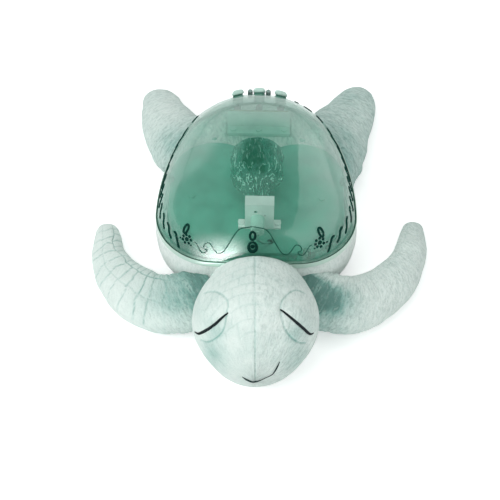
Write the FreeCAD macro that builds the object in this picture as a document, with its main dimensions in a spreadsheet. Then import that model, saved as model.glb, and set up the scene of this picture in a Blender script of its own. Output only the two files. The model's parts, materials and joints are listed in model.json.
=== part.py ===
import FreeCAD, Part
import math
import os
import Sketcher

# Plush turtle night light that projects rippling water light through a translucent shell.
# Frame: +Z up, head towards -Y, the turtle's own left side is +X, origin on the belly face.

Vector = FreeCAD.Vector
Rotation = FreeCAD.Rotation
Placement = FreeCAD.Placement

doc = FreeCAD.newDocument("TurtleNightLight")
sheet = doc.addObject("Spreadsheet::Sheet", "Sizes")

# Driving sizes in millimetres, degrees or counts
SIZES = [
    # egg outline of the shell's rim
    ("shell_half_width", 88.0),
    ("shell_front", 102.0),
    ("shell_rear", 89.0),
    ("widest_setback", 48.0),
    ("corner_radius", 53.0),
    ("side_radius", 250.0),
    # dome
    ("apex_setback", 24.0),
    ("dome_rise", 67.0),
    ("dome_fullness", 0.18),
    ("dome_wall", 2.4),
    # tray, bezel and deck
    ("flange_level", 44.0),
    ("flange_thick", 2.0),
    ("flange_inset", 4.0),
    ("tray_inset", 16.0),
    ("tray_wall", 2.2),
    ("tray_floor", 2.5),
    ("bezel_proud", 1.2),
    ("lip_thick", 2.0),
    ("lip_inset", 9.0),
    ("bezel_upstand", 1.0),
    ("seat_gap", 0.3),
    ("plateau_rise", 3.0),
    ("plateau_inset", 10.0),
    ("plateau_skin", 2.0),
    ("lobe_overlap", 2.0),
    ("lobe_setback", 5.0),
    ("lining_thick", 2.0),
    # stuffed forms
    ("plush_gap", 0.3),
    ("foot_flat", 0.5),
    ("body_bulge", 2.0),
    ("head_half_width", 53.5),
    ("head_top", 92.0),
    ("head_centre", 152.0),
    ("head_shift", 2.0),
    ("front_flipper_thick", 36.0),
    ("rear_flipper_thick", 34.0),
    ("tail_reach", 22.0),
    # screws
    ("screw_shank", 2.8),
    ("screw_head", 5.6),
    ("screw_head_rise", 2.0),
    ("screw_reach", 10.0),
    ("screw_play", 0.2),
    ("pilot_play", 0.05),
    ("press_play", 0.01),
    ("boss_diameter", 7.0),
    ("boss_inset", 7.0),
    ("boss_rise", 9.0),
    # battery bay and door
    ("cell_diameter", 14.4),
    ("cell_length", 50.0),
    ("cell_pitch", 15.6),
    ("cell_lift", 3.4),
    ("bay_centre", 30.0),
    ("bay_wall", 2.0),
    ("contact_depth", 4.5),
    ("contact_sheet", 0.5),
    ("door_thick", 2.0),
    ("door_recess", 0.6),
    ("door_gap", 0.35),
    ("hinge_pin_diameter", 2.0),
    ("hinge_play", 0.06),
    ("barrel_radius", 3.2),
    ("tongue_half_width", 5.0),
    ("tongue_reach", 8.0),
    ("tongue_boss_top", 12.0),
    ("sunk_head_rise", 1.1),
    # speaker
    ("speaker_diameter", 50.0),
    ("speaker_setback", 48.0),
    ("speaker_rim", 3.0),
    ("speaker_rim_thick", 1.6),
    ("speaker_height", 11.0),
    ("magnet_diameter", 26.0),
    ("magnet_thick", 7.0),
    ("grille_hole", 3.0),
    ("grille_pitch", 6.5),
    ("grille_rings", 2),
    # circuit boards
    ("board_thick", 1.6),
    ("board_post", 5.0),
    ("main_board_width", 62.0),
    ("main_board_depth", 42.0),
    ("post_inset", 4.0),
    # buttons and the pod behind them
    ("button_station", 0.86),
    ("button_pitch", 20.0),
    ("button_width", 10.6),
    ("button_depth", 9.0),
    ("button_proud", 4.2),
    ("button_travel", 1.0),
    ("button_play", 0.3),
    ("button_flange", 1.3),
    ("button_twist", 12.0),
    ("window_cut", 24.0),
    ("board_drop", 15.0),
    ("switch_size", 6.2),
    ("switch_height", 3.5),
    ("plunger_diameter", 3.4),
    ("pod_half_width", 29.0),
    ("pod_wall", 2.0),
    ("ledge_depth", 9.0),
    ("ledge_rise", 5.0),
    ("lens_diameter", 4.6),
    ("lens_offset", 8.4),
    ("lens_stem", 2.6),
    # wave drum and its drive
    ("drum_clearance", 1.0),
    ("drum_radius", 24.0),
    ("drum_wall", 1.4),
    ("drum_corner", 5.0),
    ("drum_rear", 2.0),
    ("drum_body_length", 28.0),
    ("drum_taper_length", 24.0),
    ("neck_radius", 9.5),
    ("neck_length", 6.0),
    ("bearing_diameter", 10.0),
    ("gear_hub_diameter", 8.0),
    ("journal_diameter", 3.0),
    ("running_play", 0.06),
    ("gear_module", 0.5),
    ("gear_width", 3.0),
    ("gear_play", 0.15),
    ("gear_gap", 0.5),
    ("drum_teeth", 26),
    ("idler_large_teeth", 20),
    ("idler_small_teeth", 10),
    ("pinion_teeth", 10),
    ("idler_angle", -30.0),
    ("pinion_angle", 215.0),
    ("idler_pin_diameter", 2.0),
    ("case_wall", 1.5),
    ("case_room", 0.8),
    ("case_foot", 6.0),
    ("case_foot_rise", 2.0),
    ("motor_diameter", 12.0),
    ("motor_length", 15.0),
    ("motor_shaft", 1.5),
    ("motor_shaft_reach", 6.0),
    ("bracket_half_width", 13.0),
    ("bracket_thick", 3.0),
    ("bracket_foot", 7.0),
    ("led_board_width", 5.0),
    ("led_diameter", 3.2),
    ("led_count", 3),
    ("led_pitch", 9.0),
    ("lead_diameter", 1.3),
    ("lead_hole_diameter", 6.0),
]

for row, (alias, value) in enumerate(SIZES, start=1):
    sheet.set(f"A{row}", alias)
    sheet.set(f"B{row}", str(value))
    sheet.setAlias(f"B{row}", alias)
doc.recompute()


def size(alias):
    """Value of one cell of the sheet."""
    return float(sheet.get(alias))


def bind(feature, target, expression):
    """Tie one property of a feature to cells of the sheet, written as {alias}."""
    text = expression.replace("{", "Sizes.").replace("}", "")
    feature.setExpression(target, text)


# Levels and lengths that follow from the driving sizes
rim_level = size("flange_level") + size("flange_thick") + size("lip_thick")
deck_bottom = size("flange_level") + size("flange_thick")
deck_top = rim_level
plateau_top = deck_top + size("plateau_rise")
gap = size("seat_gap")

RIM_TEXT = "{flange_level} + {flange_thick} + {lip_thick}"
DECK_TEXT = "{flange_level} + {flange_thick}"
DRUM_TEXT = f"{RIM_TEXT} + {{plateau_rise}} + {{drum_radius}} + {{drum_clearance}}"


# Bodies, sketches and features

def new_body(label):
    """Empty design body with its own label."""
    body = doc.addObject("PartDesign::Body", label)
    body.Label = label
    return body


def plane_of(body, role):
    """Origin plane of a body."""
    for feature in body.Origin.OriginFeatures:
        if feature.Role == role:
            return feature
    raise ValueError(role)


def sketch_on(body, name, role="XY_Plane", level=0.0, level_text=None, spin=None):
    """Sketch parallel to an origin plane, at a level along the plane's own normal."""
    sketch = body.newObject("Sketcher::SketchObject", name)
    sketch.AttachmentSupport = [(plane_of(body, role), "")]
    sketch.MapMode = "FlatFace"
    rotation = spin if spin else Rotation()
    sketch.AttachmentOffset = Placement(Vector(0, 0, level), rotation)
    if level_text:
        bind(sketch, "AttachmentOffset.Base.z", level_text)
    return sketch


def sketch_at(body, name, placement):
    """Sketch in a plane placed freely from the XY plane of its body."""
    sketch = body.newObject("Sketcher::SketchObject", name)
    sketch.AttachmentSupport = [(plane_of(body, "XY_Plane"), "")]
    sketch.MapMode = "FlatFace"
    sketch.AttachmentOffset = placement
    return sketch


def draw(sketch, edges):
    """Put a list of edges into a sketch."""
    sketch.addGeometry(edges, False)


def line(start, end):
    """Straight edge between two points given as (x, y)."""
    return Part.LineSegment(Vector(*start, 0), Vector(*end, 0))


def polygon(points):
    """Closed outline of straight edges."""
    return [line(a, b) for a, b in zip(points, points[1:] + points[:1])]


def rectangle(centre_x, centre_y, half_x, half_y):
    """Upright rectangle as four edges."""
    return polygon([
        (centre_x - half_x, centre_y - half_y),
        (centre_x + half_x, centre_y - half_y),
        (centre_x + half_x, centre_y + half_y),
        (centre_x - half_x, centre_y + half_y),
    ])


def arc_edge(centre, radius, start, end):
    """Arc about a centre, counter-clockwise between two angles in radians."""
    circle = Part.Circle(Vector(*centre, 0), Vector(0, 0, 1), radius)
    return Part.ArcOfCircle(circle, start, end)


def draw_circle(sketch, centre, radius_text):
    """Full circle whose radius is tied to the sheet."""
    index = sketch.addGeometry(Part.Circle(Vector(*centre, 0), Vector(0, 0, 1), 1.0), False)
    constraint = sketch.addConstraint(Sketcher.Constraint("Radius", index, 1.0))
    bind(sketch, f"Constraints[{constraint}]", radius_text)


def pad(body, sketch, length, length_text=None, back=False, middle=False):
    """Pad of a sketch along its normal."""
    feature = body.newObject("PartDesign::Pad", "Pad")
    feature.Profile = sketch
    feature.Length = length
    feature.Midplane = middle
    feature.Reversed = back
    if length_text:
        bind(feature, "Length", length_text)
    return feature


def pocket(body, sketch, length, length_text=None, back=True):
    """Pocket of a sketch, along its normal where back is True."""
    feature = body.newObject("PartDesign::Pocket", "Pocket")
    feature.Profile = sketch
    feature.Length = length
    feature.Reversed = back
    if length_text:
        bind(feature, "Length", length_text)
    return feature


def loft(body, kind, sketches):
    """Additive or subtractive loft through a list of sketches."""
    feature = body.newObject(kind, "Loft")
    feature.Profile = sketches[0]
    feature.Sections = sketches[1:]
    feature.Ruled = False
    feature.Closed = False
    feature.Refine = False
    return feature


def group(label, features):
    """One node that holds several separate solids."""
    node = doc.addObject("Part::Compound", label)
    node.Label = label
    node.Links = features
    return node


def shape_node(label, shape):
    """One node with a shape set from the sizes."""
    node = doc.addObject("Part::Feature", label)
    node.Label = label
    node.Shape = shape
    return node


# The egg outline: front, corner, side and rear arcs, each tangent to the next

def egg_arcs(offset=0.0, scale=1.0):
    """Edges of the rim outline, moved outwards by offset, then scaled about the apex."""
    half = size("shell_half_width")
    widest = -size("widest_setback")
    corner = size("corner_radius")
    side = size("side_radius")
    corner_x = half - corner
    reach = corner - size("shell_front")
    front_y = (reach ** 2 - corner_x ** 2 - widest ** 2) / (2 * (reach - widest))
    front_radius = front_y + size("shell_front")
    side_x = half - side
    span = size("shell_rear") - widest
    rear_radius = (side ** 2 - side_x ** 2 - span ** 2) / (2 * (side - span))
    rear_y = size("shell_rear") - rear_radius
    turn_front = math.atan2(widest - front_y, corner_x)
    turn_rear = math.atan2(rear_y - widest, -side_x)
    right = [
        (0.0, front_y, front_radius, -math.pi / 2, turn_front),
        (corner_x, widest, corner, turn_front, 0.0),
        (side_x, widest, side, 0.0, turn_rear),
        (0.0, rear_y, rear_radius, turn_rear, math.pi / 2),
    ]
    left = [(-x, y, r, math.pi - end, math.pi - start) for x, y, r, start, end in reversed(right)]
    apex = -size("apex_setback")
    edges = []
    for x, y, radius, start, end in right + left:
        centre = (x * scale, apex + (y - apex) * scale)
        edges.append(arc_edge(centre, (radius + offset) * scale, start, end))
    return edges


def rear_arc():
    """Centre and radius of the rim's rear arc."""
    half = size("shell_half_width")
    side = size("side_radius")
    span = size("shell_rear") + size("widest_setback")
    radius = (side ** 2 - (half - side) ** 2 - span ** 2) / (2 * (side - span))
    return size("shell_rear") - radius, radius


def rim_point(offset, share):
    """Point on the offset outline: share runs from 0 at the front to 1 at the rear, +X side."""
    wire = Part.Wire([edge.toShape() for edge in egg_arcs(offset)[:4]])
    point = wire.discretize(Number=201)[round(share * 200)]
    return point.x, point.y


def dome_level(station):
    """Height above the rim at a station: 1 is the rim and 0 the apex."""
    fullness = size("dome_fullness")
    bend = 1.0 - fullness ** 2
    return (math.sqrt(1.0 - bend * station ** 2) - fullness) / (1.0 - fullness)


def dome_slope(station):
    """Steepness of the level curve at a station."""
    fullness = size("dome_fullness")
    bend = 1.0 - fullness ** 2
    return bend * station / math.sqrt(1.0 - bend * station ** 2) / (1.0 - fullness)


def dome_station(x, y):
    """Station of a plan point that lies behind the apex, inside the rear arc."""
    rear_y, radius = rear_arc()
    apex = -size("apex_setback")
    reach = y - apex
    shift = rear_y - apex
    spread = radius ** 2 - shift ** 2
    root = math.sqrt((reach * shift) ** 2 + spread * (x ** 2 + reach ** 2))
    return (root - reach * shift) / spread


def egg_pad(body, name, offset, level, level_text, height, height_text):
    """Pad of the offset outline."""
    sketch = sketch_on(body, name, "XY_Plane", level, level_text)
    draw(sketch, egg_arcs(offset))
    return pad(body, sketch, height, height_text)


def egg_pocket(body, name, offset, level, level_text, height, height_text):
    """Pocket of the offset outline, upwards from its level."""
    sketch = sketch_on(body, name, "XY_Plane", level, level_text)
    draw(sketch, egg_arcs(offset))
    return pocket(body, sketch, height, height_text)


def lobed_arcs(offset=0.0):
    """Outline of the glossy plateau: the rim's front, then two round lobes at the rear."""
    inset = offset - size("plateau_inset")
    front_edges = egg_arcs(inset)
    half = size("shell_half_width") + inset
    lobe = (half - offset + size("lobe_overlap")) / 2 + offset
    lobe_x = half - lobe
    lobe_y = -size("lobe_setback")
    valley = math.acos(-lobe_x / lobe)
    widest = -size("widest_setback")
    return front_edges[:2] + [
        line((half, widest), (half, lobe_y)),
        arc_edge((lobe_x, lobe_y), lobe, 0.0, valley),
        arc_edge((-lobe_x, lobe_y), lobe, math.pi - valley, math.pi),
        line((-half, lobe_y), (-half, widest)),
    ] + front_edges[-2:]


# Where the dome's screws stand: shares of the way from front to rear
boss_shares = [0.16, 0.52]
boss_points = []
for share in boss_shares:
    boss_x, boss_y = rim_point(-size("boss_inset"), share)
    boss_points.append((boss_x, boss_y))
    boss_points.append((-boss_x, boss_y))
boss_points.append((0.0, size("shell_rear") - size("boss_inset")))


def screw(label, centre, seat, up=True, reach=None):
    """Pan-head screw whose head rests on a level seat; up tells where the shank points."""
    reach = reach if reach else size("screw_reach")
    head = doc.addObject("Part::Cylinder", f"{label}_head")
    shank = doc.addObject("Part::Cylinder", f"{label}_shank")
    bind(head, "Radius", "{screw_head} / 2")
    bind(head, "Height", "{screw_head_rise}")
    bind(shank, "Radius", "{screw_shank} / 2")
    shank.Height = reach
    rise = size("screw_head_rise")
    head.Placement.Base = Vector(*centre, seat - rise if up else seat)
    shank.Placement.Base = Vector(*centre, seat if up else seat - reach)
    whole = doc.addObject("Part::Fuse", label)
    whole.Base = head
    whole.Tool = shank
    return whole


# Shell: bezel ring and translucent dome

def make_shell_ring():
    """Pale bezel that carries the dome and clamps on the tray's flange."""
    body = new_body("shell_ring")
    top_text = "{flange_thick} + {lip_thick} + {bezel_upstand}"
    height = size("flange_thick") + size("lip_thick") + size("bezel_upstand")
    proud = size("bezel_proud")
    egg_pad(body, "ring_outline", proud, size("flange_level"), "{flange_level}", height, top_text)
    egg_pocket(body, "flange_room", gap - size("flange_inset"), size("flange_level"),
               "{flange_level}", size("flange_thick"), "{flange_thick}")
    egg_pocket(body, "lip_opening", -size("lip_inset"), size("flange_level"),
               "{flange_level}", height, top_text)
    egg_pocket(body, "dome_seat", gap, rim_level, RIM_TEXT,
               size("bezel_upstand"), "{bezel_upstand}")
    holes = sketch_on(body, "screw_holes", "XY_Plane", deck_bottom, DECK_TEXT)
    for point in boss_points:
        draw_circle(holes, point, "{screw_shank} / 2 + {screw_play}")
    pocket(body, holes, size("lip_thick"), "{lip_thick}")
    return body


# Frame of the sloping button plane at the rear of the dome
apex_y = -size("apex_setback")
station = size("button_station")
button_y = apex_y + (size("shell_rear") - apex_y) * station
button_z = rim_level + size("dome_rise") * dome_level(station)
lean = math.atan(size("dome_rise") / (size("shell_rear") - apex_y) * dome_slope(station))
button_origin = Vector(0, button_y, button_z)
button_normal = Vector(0, math.sin(lean), math.cos(lean))
button_down = Vector(0, math.cos(lean), -math.sin(lean))


def button_frame(across=0.0, along=0.0, out=0.0, twist=0.0):
    """Placement in the button plane: X across, Y down the slope, Z out of the dome."""
    base = button_origin + Vector(across, 0, 0) + button_down * along + button_normal * out
    tilt = Rotation(Vector(1, 0, 0), -math.degrees(lean))
    return Placement(base, tilt.multiply(Rotation(Vector(0, 0, 1), twist)))


def surface_drop(across, along=0.0):
    """How far the dome lies below the button plane at a place in it."""
    low = 0.0
    high = 40.0
    for _ in range(40):
        middle = (low + high) / 2
        point = button_frame(across, along, -middle).Base
        here = dome_station(across, point.y)
        inside = here < 1 and point.z < rim_level + size("dome_rise") * dome_level(here)
        if inside:
            high = middle
        else:
            low = middle
    return (low + high) / 2


def button_outline(kind, grow=0.0):
    """Outline of one button: a trapezoid, a wide hexagon or a hexagon."""
    half = size("button_width") / 2 + grow
    deep = size("button_depth") / 2 + grow
    if kind == "trapezoid":
        return [(-half, -deep), (half * 0.8, -deep), (half, deep), (-half * 0.72, deep)]
    shoulder = 0.62 if kind == "wide_hexagon" else 0.48
    return [(-half, 0), (-half * shoulder, -deep), (half * shoulder, -deep),
            (half, 0), (half * shoulder, deep), (-half * shoulder, deep)]


BUTTONS = [
    ("button_right", -1, "trapezoid"),
    ("button_centre", 0, "wide_hexagon"),
    ("button_left", 1, "hexagon"),
]


def make_shell_dome():
    """Translucent shell: lofts through scaled egg outlines, hollowed by the same form."""
    body = new_body("shell_dome")
    wall = size("dome_wall")
    rise = size("dome_rise")
    stations = [1.0, 0.985, 0.94, 0.86, 0.75, 0.6, 0.42, 0.24, 0.08]
    outer = []
    inner = []
    for count, place in enumerate(stations):
        sketch = sketch_on(body, f"outer_{count}", "XY_Plane", rim_level + rise * dome_level(place))
        draw(sketch, egg_arcs(0.0, place))
        outer.append(sketch)
    loft(body, "PartDesign::AdditiveLoft", outer)
    for count, place in enumerate(stations):
        level = rim_level + (rise - wall) * dome_level(place)
        sketch = sketch_on(body, f"inner_{count}", "XY_Plane", level)
        draw(sketch, egg_arcs(-wall, place))
        inner.append(sketch)
    loft(body, "PartDesign::SubtractiveLoft", inner)
    bosses = sketch_on(body, "screw_bosses", "XY_Plane", rim_level, RIM_TEXT)
    for point in boss_points:
        draw_circle(bosses, point, "{boss_diameter} / 2")
    pad(body, bosses, size("boss_rise"), "{boss_rise}")
    pilots = sketch_on(body, "screw_pilots", "XY_Plane", rim_level, RIM_TEXT)
    for point in boss_points:
        draw_circle(pilots, point, "{screw_shank} / 2 + {pilot_play}")
    pocket(body, pilots, size("boss_rise") - 1.5, "{boss_rise} - 1.5")
    half_cut = size("window_cut") / 2
    for name, hand, kind in BUTTONS:
        across = hand * size("button_pitch")
        drop = surface_drop(across)
        frame = button_frame(across, 0.0, -drop - half_cut, hand * size("button_twist"))
        window = sketch_at(body, f"{name}_window", frame)
        draw(window, polygon(button_outline(kind, size("button_play"))))
        pocket(body, window, 2 * half_cut)
    eyes = sketch_at(body, "lens_holes", button_frame(0.0, 0.0, -half_cut))
    for hand in (-1, 1):
        draw_circle(eyes, (hand * size("lens_offset"), 0.0), "{lens_diameter} / 2 + {pilot_play}")
    pocket(body, eyes, 2 * half_cut)
    return body


def make_dome_screws():
    """Screws that hold the dome and bezel down on the flange, driven from below."""
    screws = []
    for count, point in enumerate(boss_points):
        screws.append(screw(f"dome_screw_{count}", point, size("flange_level")))
    return group("dome_screws", screws)


# Stuffed forms

def oval_edges(half_x, half_y, centre=(0.0, 0.0)):
    """Four-arc oval about a centre, every arc under a half circle."""
    wide = max(half_x, half_y)
    tall = min(half_x, half_y)
    small = 0.8 * tall * tall / wide
    large = (wide ** 2 + tall ** 2 - 2 * wide * small) / (2 * (tall - small))
    reach = wide - small
    depth = large - tall
    turn = math.atan2(depth, reach)
    cx, cy = centre
    if half_x >= half_y:
        return [
            arc_edge((cx + reach, cy), small, -turn, turn),
            arc_edge((cx, cy - depth), large, turn, math.pi - turn),
            arc_edge((cx - reach, cy), small, math.pi - turn, math.pi + turn),
            arc_edge((cx, cy + depth), large, math.pi + turn, 2 * math.pi - turn),
        ]
    quarter = math.pi / 2
    return [
        arc_edge((cx - depth, cy), large, turn - quarter, quarter - turn),
        arc_edge((cx, cy + reach), small, quarter - turn, quarter + turn),
        arc_edge((cx + depth, cy), large, quarter + turn, 3 * quarter - turn),
        arc_edge((cx, cy - reach), small, 3 * quarter - turn, 3 * quarter + turn),
    ]


def oval_wire(half_x, half_y, placement):
    """Oval as a wire in space."""
    wire = Part.Wire([edge.toShape() for edge in oval_edges(half_x, half_y)])
    wire.Placement = placement
    return wire


def egg_prism(offset, low, high):
    """Solid prism of the offset outline between two levels."""
    wire = Part.Wire([edge.toShape() for edge in egg_arcs(offset)])
    wire.translate(Vector(0, 0, low))
    return Part.Face(wire).extrude(Vector(0, 0, high - low))


def above_floor(shape):
    """What is left of a shape above the floor it rests on."""
    box = shape.BoundBox
    slab = Part.makeBox(box.XLength + 20, box.YLength + 20, 60,
                        Vector(box.XMin - 10, box.YMin - 10, -60))
    return shape.cut(slab)


def make_plush_body():
    """Stuffed ring round the tray, swelling under the bezel."""
    top = size("flange_level") - size("plush_gap")
    bulge = size("body_bulge")
    flat = size("foot_flat")
    levels = [(-flat, -11.5), (0.14 * top, -bulge), (0.34 * top, bulge * 0.5),
              (0.6 * top, bulge), (0.83 * top, bulge * 0.55), (top, -1.0)]
    wires = []
    for level, offset in levels:
        wire = Part.Wire([edge.toShape() for edge in egg_arcs(offset)])
        wire.translate(Vector(0, 0, level))
        wires.append(wire)
    shape = above_floor(Part.makeLoft(wires, True, False))
    shape = shape.cut(egg_prism(size("plush_gap") - size("tray_inset"), -1.0, top + 1.0))
    head_room = size("screw_head_rise")
    for point in boss_points:
        room = Part.makeCylinder(size("screw_head") / 2 + size("plush_gap"), head_room + 1,
                                 Vector(*point, top - head_room))
        shape = shape.cut(room)
    return shape_node("plush_body", shape)


def shell_keep_out():
    """Space of the tray, bezel and dome that stuffed forms stay out of."""
    play = size("plush_gap")
    low = egg_prism(play - size("tray_inset"), -1.0, size("flange_level"))
    high = egg_prism(size("bezel_proud") + play, size("flange_level") - play,
                     rim_level + size("head_top"))
    return low.fuse(high)


def make_plush_head(body_shape):
    """Stuffed head: upright ovals from the neck to the muzzle."""
    half = size("head_half_width")
    top = size("head_top")
    middle = size("head_centre")
    flat = size("foot_flat")
    # shares of the half width: ahead of the head's middle and half width there; then the
    # underside in millimetres and the share of the top
    rows = [(-1.121, 0.66, 4.0, 0.38), (-0.860, 0.69, 1.0, 0.69), (-0.636, 0.76, -flat / 2, 0.865),
            (-0.318, 0.905, -flat, 0.94), (0.0, 0.985, -flat, 0.985), (0.336, 0.96, -flat, 0.97),
            (0.636, 0.78, 1.0, 0.845), (0.841, 0.55, 7.0, 0.66), (0.972, 0.25, 17.0, 0.45)]
    wires = []
    for ahead, share, low, high in rows:
        half_z = (high * top - low) / 2
        centre = Vector(size("head_shift"), -middle - ahead * half, low + half_z)
        upright = Rotation(Vector(1, 0, 0), 90)
        wires.append(oval_wire(share * half, half_z, Placement(centre, upright)))
    shape = above_floor(Part.makeLoft(wires, True, False))
    shape = shape.cut(shell_keep_out()).cut(body_shape)
    return shape_node("plush_head", biggest(shape))


def biggest(shape):
    """Largest solid of a shape, without slivers left by a cut."""
    return max(shape.Solids, key=lambda solid: solid.Volume)


def limb(rows, thick, hand):
    """Loft through ovals along a limb's stations."""
    unit = size("shell_half_width")
    wires = []
    for x, y, heading, width, share in rows:
        half_z = share * thick / 2
        turn = Rotation(Vector(0, 0, 1), (heading - 90) if hand > 0 else (90 - heading))
        upright = turn.multiply(Rotation(Vector(1, 0, 0), 90))
        centre = Vector(hand * x * unit, y * unit, half_z - size("foot_flat"))
        wires.append(oval_wire(width * unit / 2, half_z, Placement(centre, upright)))
    return above_floor(Part.makeLoft(wires, True, False))


# Stations along a flipper: x, y, heading in degrees, width and share of the thickness;
# x, y and the width are shares of the shell's half width
FRONT_FLIPPER = [
    (0.477, -1.182, -12, 0.659, 0.94), (0.727, -1.295, -8, 0.682, 1.0),
    (0.977, -1.318, 8, 0.670, 0.98), (1.205, -1.227, 33, 0.614, 0.92),
    (1.398, -1.034, 52, 0.511, 0.84), (1.511, -0.784, 66, 0.398, 0.74),
    (1.580, -0.545, 74, 0.307, 0.62), (1.614, -0.375, 78, 0.193, 0.42),
    (1.631, -0.295, 80, 0.080, 0.2),
]
REAR_FLIPPER = [
    (0.591, 0.568, 42, 0.659, 0.96), (0.841, 0.807, 50, 0.659, 1.0),
    (1.000, 1.080, 64, 0.568, 0.92), (1.080, 1.318, 78, 0.500, 0.78),
    (1.102, 1.511, 86, 0.398, 0.6), (1.108, 1.636, 90, 0.239, 0.4),
    (1.108, 1.682, 90, 0.091, 0.2),
]


def make_limbs(body_shape, head_shape):
    """Four flippers and the tail, cut by the larger forms."""
    keep_out = shell_keep_out()
    nodes = []
    for side, hand in (("left", 1), ("right", -1)):
        front = limb(FRONT_FLIPPER, size("front_flipper_thick"), hand)
        front = front.cut(keep_out).cut(body_shape).cut(head_shape)
        nodes.append(shape_node(f"front_flipper_{side}", biggest(front)))
        rear = limb(REAR_FLIPPER, size("rear_flipper_thick"), hand)
        rear = rear.cut(keep_out).cut(body_shape)
        nodes.append(shape_node(f"rear_flipper_{side}", biggest(rear)))
    start = size("shell_rear") / size("shell_half_width")
    reach = size("tail_reach") / size("shell_half_width")
    rows = [(0, start - 0.14, 90, 0.386, 1.0), (0, start + 0.35 * reach, 90, 0.307, 0.85),
            (0, start + 0.75 * reach, 90, 0.193, 0.6), (0, start + reach, 90, 0.080, 0.32)]
    tail = limb(rows, 0.6 * size("rear_flipper_thick"), 1)
    nodes.append(shape_node("plush_tail", biggest(tail.cut(keep_out).cut(body_shape))))
    return nodes


# Deck, lining, pod and what stands on the deck

pod_back_out = -size("board_drop") - size("board_thick")
pod_half_slope = size("button_depth")
pod_top = button_frame(0.0, -pod_half_slope, pod_back_out).Base
pod_low = button_frame(0.0, pod_half_slope, pod_back_out).Base
pod_front = pod_top.y - size("ledge_depth")
ledge_screws = [(share * size("pod_half_width"), pod_front + size("ledge_depth") / 2)
                for share in (-0.82, 0.0, 0.82)]
hollow_half_x = 50.0
hollow_half_y = 33.0
motor_hole = (13.0, -79.0)
led_hole = (0.0, 15.0)
pod_hole = (0.0, (pod_top.y + pod_low.y) / 2)
lead_room_half = 8.0
deck_screw_points = [(58.0, -30.0), (-58.0, -30.0), (41.0, 42.0), (-41.0, 42.0)]


def make_upper_deck():
    """Deck plate with the glossy two-lobed plateau, hollow below."""
    body = new_body("upper_deck")
    egg_pad(body, "plate_outline", -size("lip_inset") - gap, deck_bottom, DECK_TEXT,
            size("lip_thick"), "{lip_thick}")
    top = sketch_on(body, "plateau_outline", "XY_Plane", deck_top, RIM_TEXT)
    draw(top, lobed_arcs())
    pad(body, top, size("plateau_rise"), "{plateau_rise}")
    under = sketch_on(body, "plateau_hollow", "XY_Plane", deck_bottom, DECK_TEXT)
    draw(under, rectangle(0.0, -size("widest_setback") + 4.0, hollow_half_x, hollow_half_y))
    pocket(body, under, size("lip_thick") + size("plateau_rise") - size("plateau_skin"),
           "{lip_thick} + {plateau_rise} - {plateau_skin}")
    holes = sketch_on(body, "lead_holes", "XY_Plane", deck_bottom, DECK_TEXT)
    for point in (motor_hole, led_hole, pod_hole):
        draw_circle(holes, point, "{lead_hole_diameter} / 2")
    for point in deck_screw_points:
        draw_circle(holes, point, "{screw_shank} / 2 + {screw_play}")
    for point in ledge_screws + bracket_screws + case_screws:
        draw_circle(holes, point, "{screw_shank} / 2 + {pilot_play}")
    pocket(body, holes, size("lip_thick") + size("plateau_rise"), "{lip_thick} + {plateau_rise}")
    notches = sketch_on(body, "boss_notches", "XY_Plane", deck_bottom, DECK_TEXT)
    for point in boss_points:
        draw_circle(notches, point, "{boss_diameter} / 2 + {seat_gap}")
    pocket(body, notches, size("lip_thick") + size("plateau_rise"), "{lip_thick} + {plateau_rise}")
    return body


def make_plush_lining():
    """Pile fabric laid on the deck between the plateau and the dome."""
    body = new_body("plush_lining")
    egg_pad(body, "lining_outline", -size("dome_wall") - 2 * size("plush_gap"), deck_top,
            RIM_TEXT, size("lining_thick"), "{lining_thick}")
    room = sketch_on(body, "plateau_room", "XY_Plane", deck_top, RIM_TEXT)
    draw(room, lobed_arcs(size("plush_gap")))
    pocket(body, room, size("lining_thick"), "{lining_thick}")
    pod = sketch_on(body, "pod_room", "XY_Plane", deck_top, RIM_TEXT)
    draw(pod, rectangle(0.0, (pod_front + pod_low.y) / 2, size("pod_half_width") + gap,
                        (pod_low.y - pod_front) / 2 + gap))
    pocket(body, pod, size("lining_thick"), "{lining_thick}")
    lead = sketch_on(body, "lead_room", "XY_Plane", deck_top, RIM_TEXT)
    draw(lead, rectangle(*led_hole, lead_room_half, lead_room_half))
    pocket(body, lead, size("lining_thick"), "{lining_thick}")
    bosses = sketch_on(body, "boss_room", "XY_Plane", deck_top, RIM_TEXT)
    for point in boss_points:
        draw_circle(bosses, point, "{boss_diameter} / 2 + {plush_gap}")
    for point in deck_screw_points:
        draw_circle(bosses, point, "{screw_head} / 2 + {plush_gap}")
    pocket(body, bosses, size("lining_thick"), "{lining_thick}")
    return body


def make_deck_screws():
    """Screws that hold the deck on the tray's columns."""
    screws = []
    for count, point in enumerate(deck_screw_points):
        seat = plateau_top if point[1] < 0 else deck_top
        screws.append(screw(f"deck_screw_{count}", point, seat, up=False))
    return group("deck_screws", screws)


# Battery bay: everything is placed from the cells

cell_radius = size("cell_diameter") / 2
cell_level = size("cell_lift") + cell_radius
cell_rows = [size("bay_centre") + (row - 1) * size("cell_pitch") for row in range(3)]
hinge_level = size("door_recess") + size("barrel_radius")
hinge_reach = cell_radius + size("barrel_radius") + gap
hinge_y = cell_rows[-1] + math.sqrt(hinge_reach ** 2 - (cell_level - hinge_level) ** 2)
bay_half_x = size("cell_length") / 2 + size("contact_depth")
bay_front = cell_rows[0] - cell_radius - gap
bay_rear = hinge_y + size("barrel_radius") + gap
bay_roof = cell_level + cell_radius + gap
bay_top = bay_roof + size("bay_wall")
hinge_pin_length = 2 * bay_half_x + size("bay_wall")
tongue_half = size("tongue_half_width")
tongue_reach = size("tongue_reach")
tongue_screw = (0.0, bay_front - tongue_reach / 2)
board_level = bay_top + size("board_post")
board_top = board_level + size("board_thick")
board_front = size("bay_centre") - size("main_board_depth") / 2
post_x = size("main_board_width") / 2 - size("post_inset")
post_y = size("main_board_depth") / 2 - size("post_inset")
main_posts = []
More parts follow.
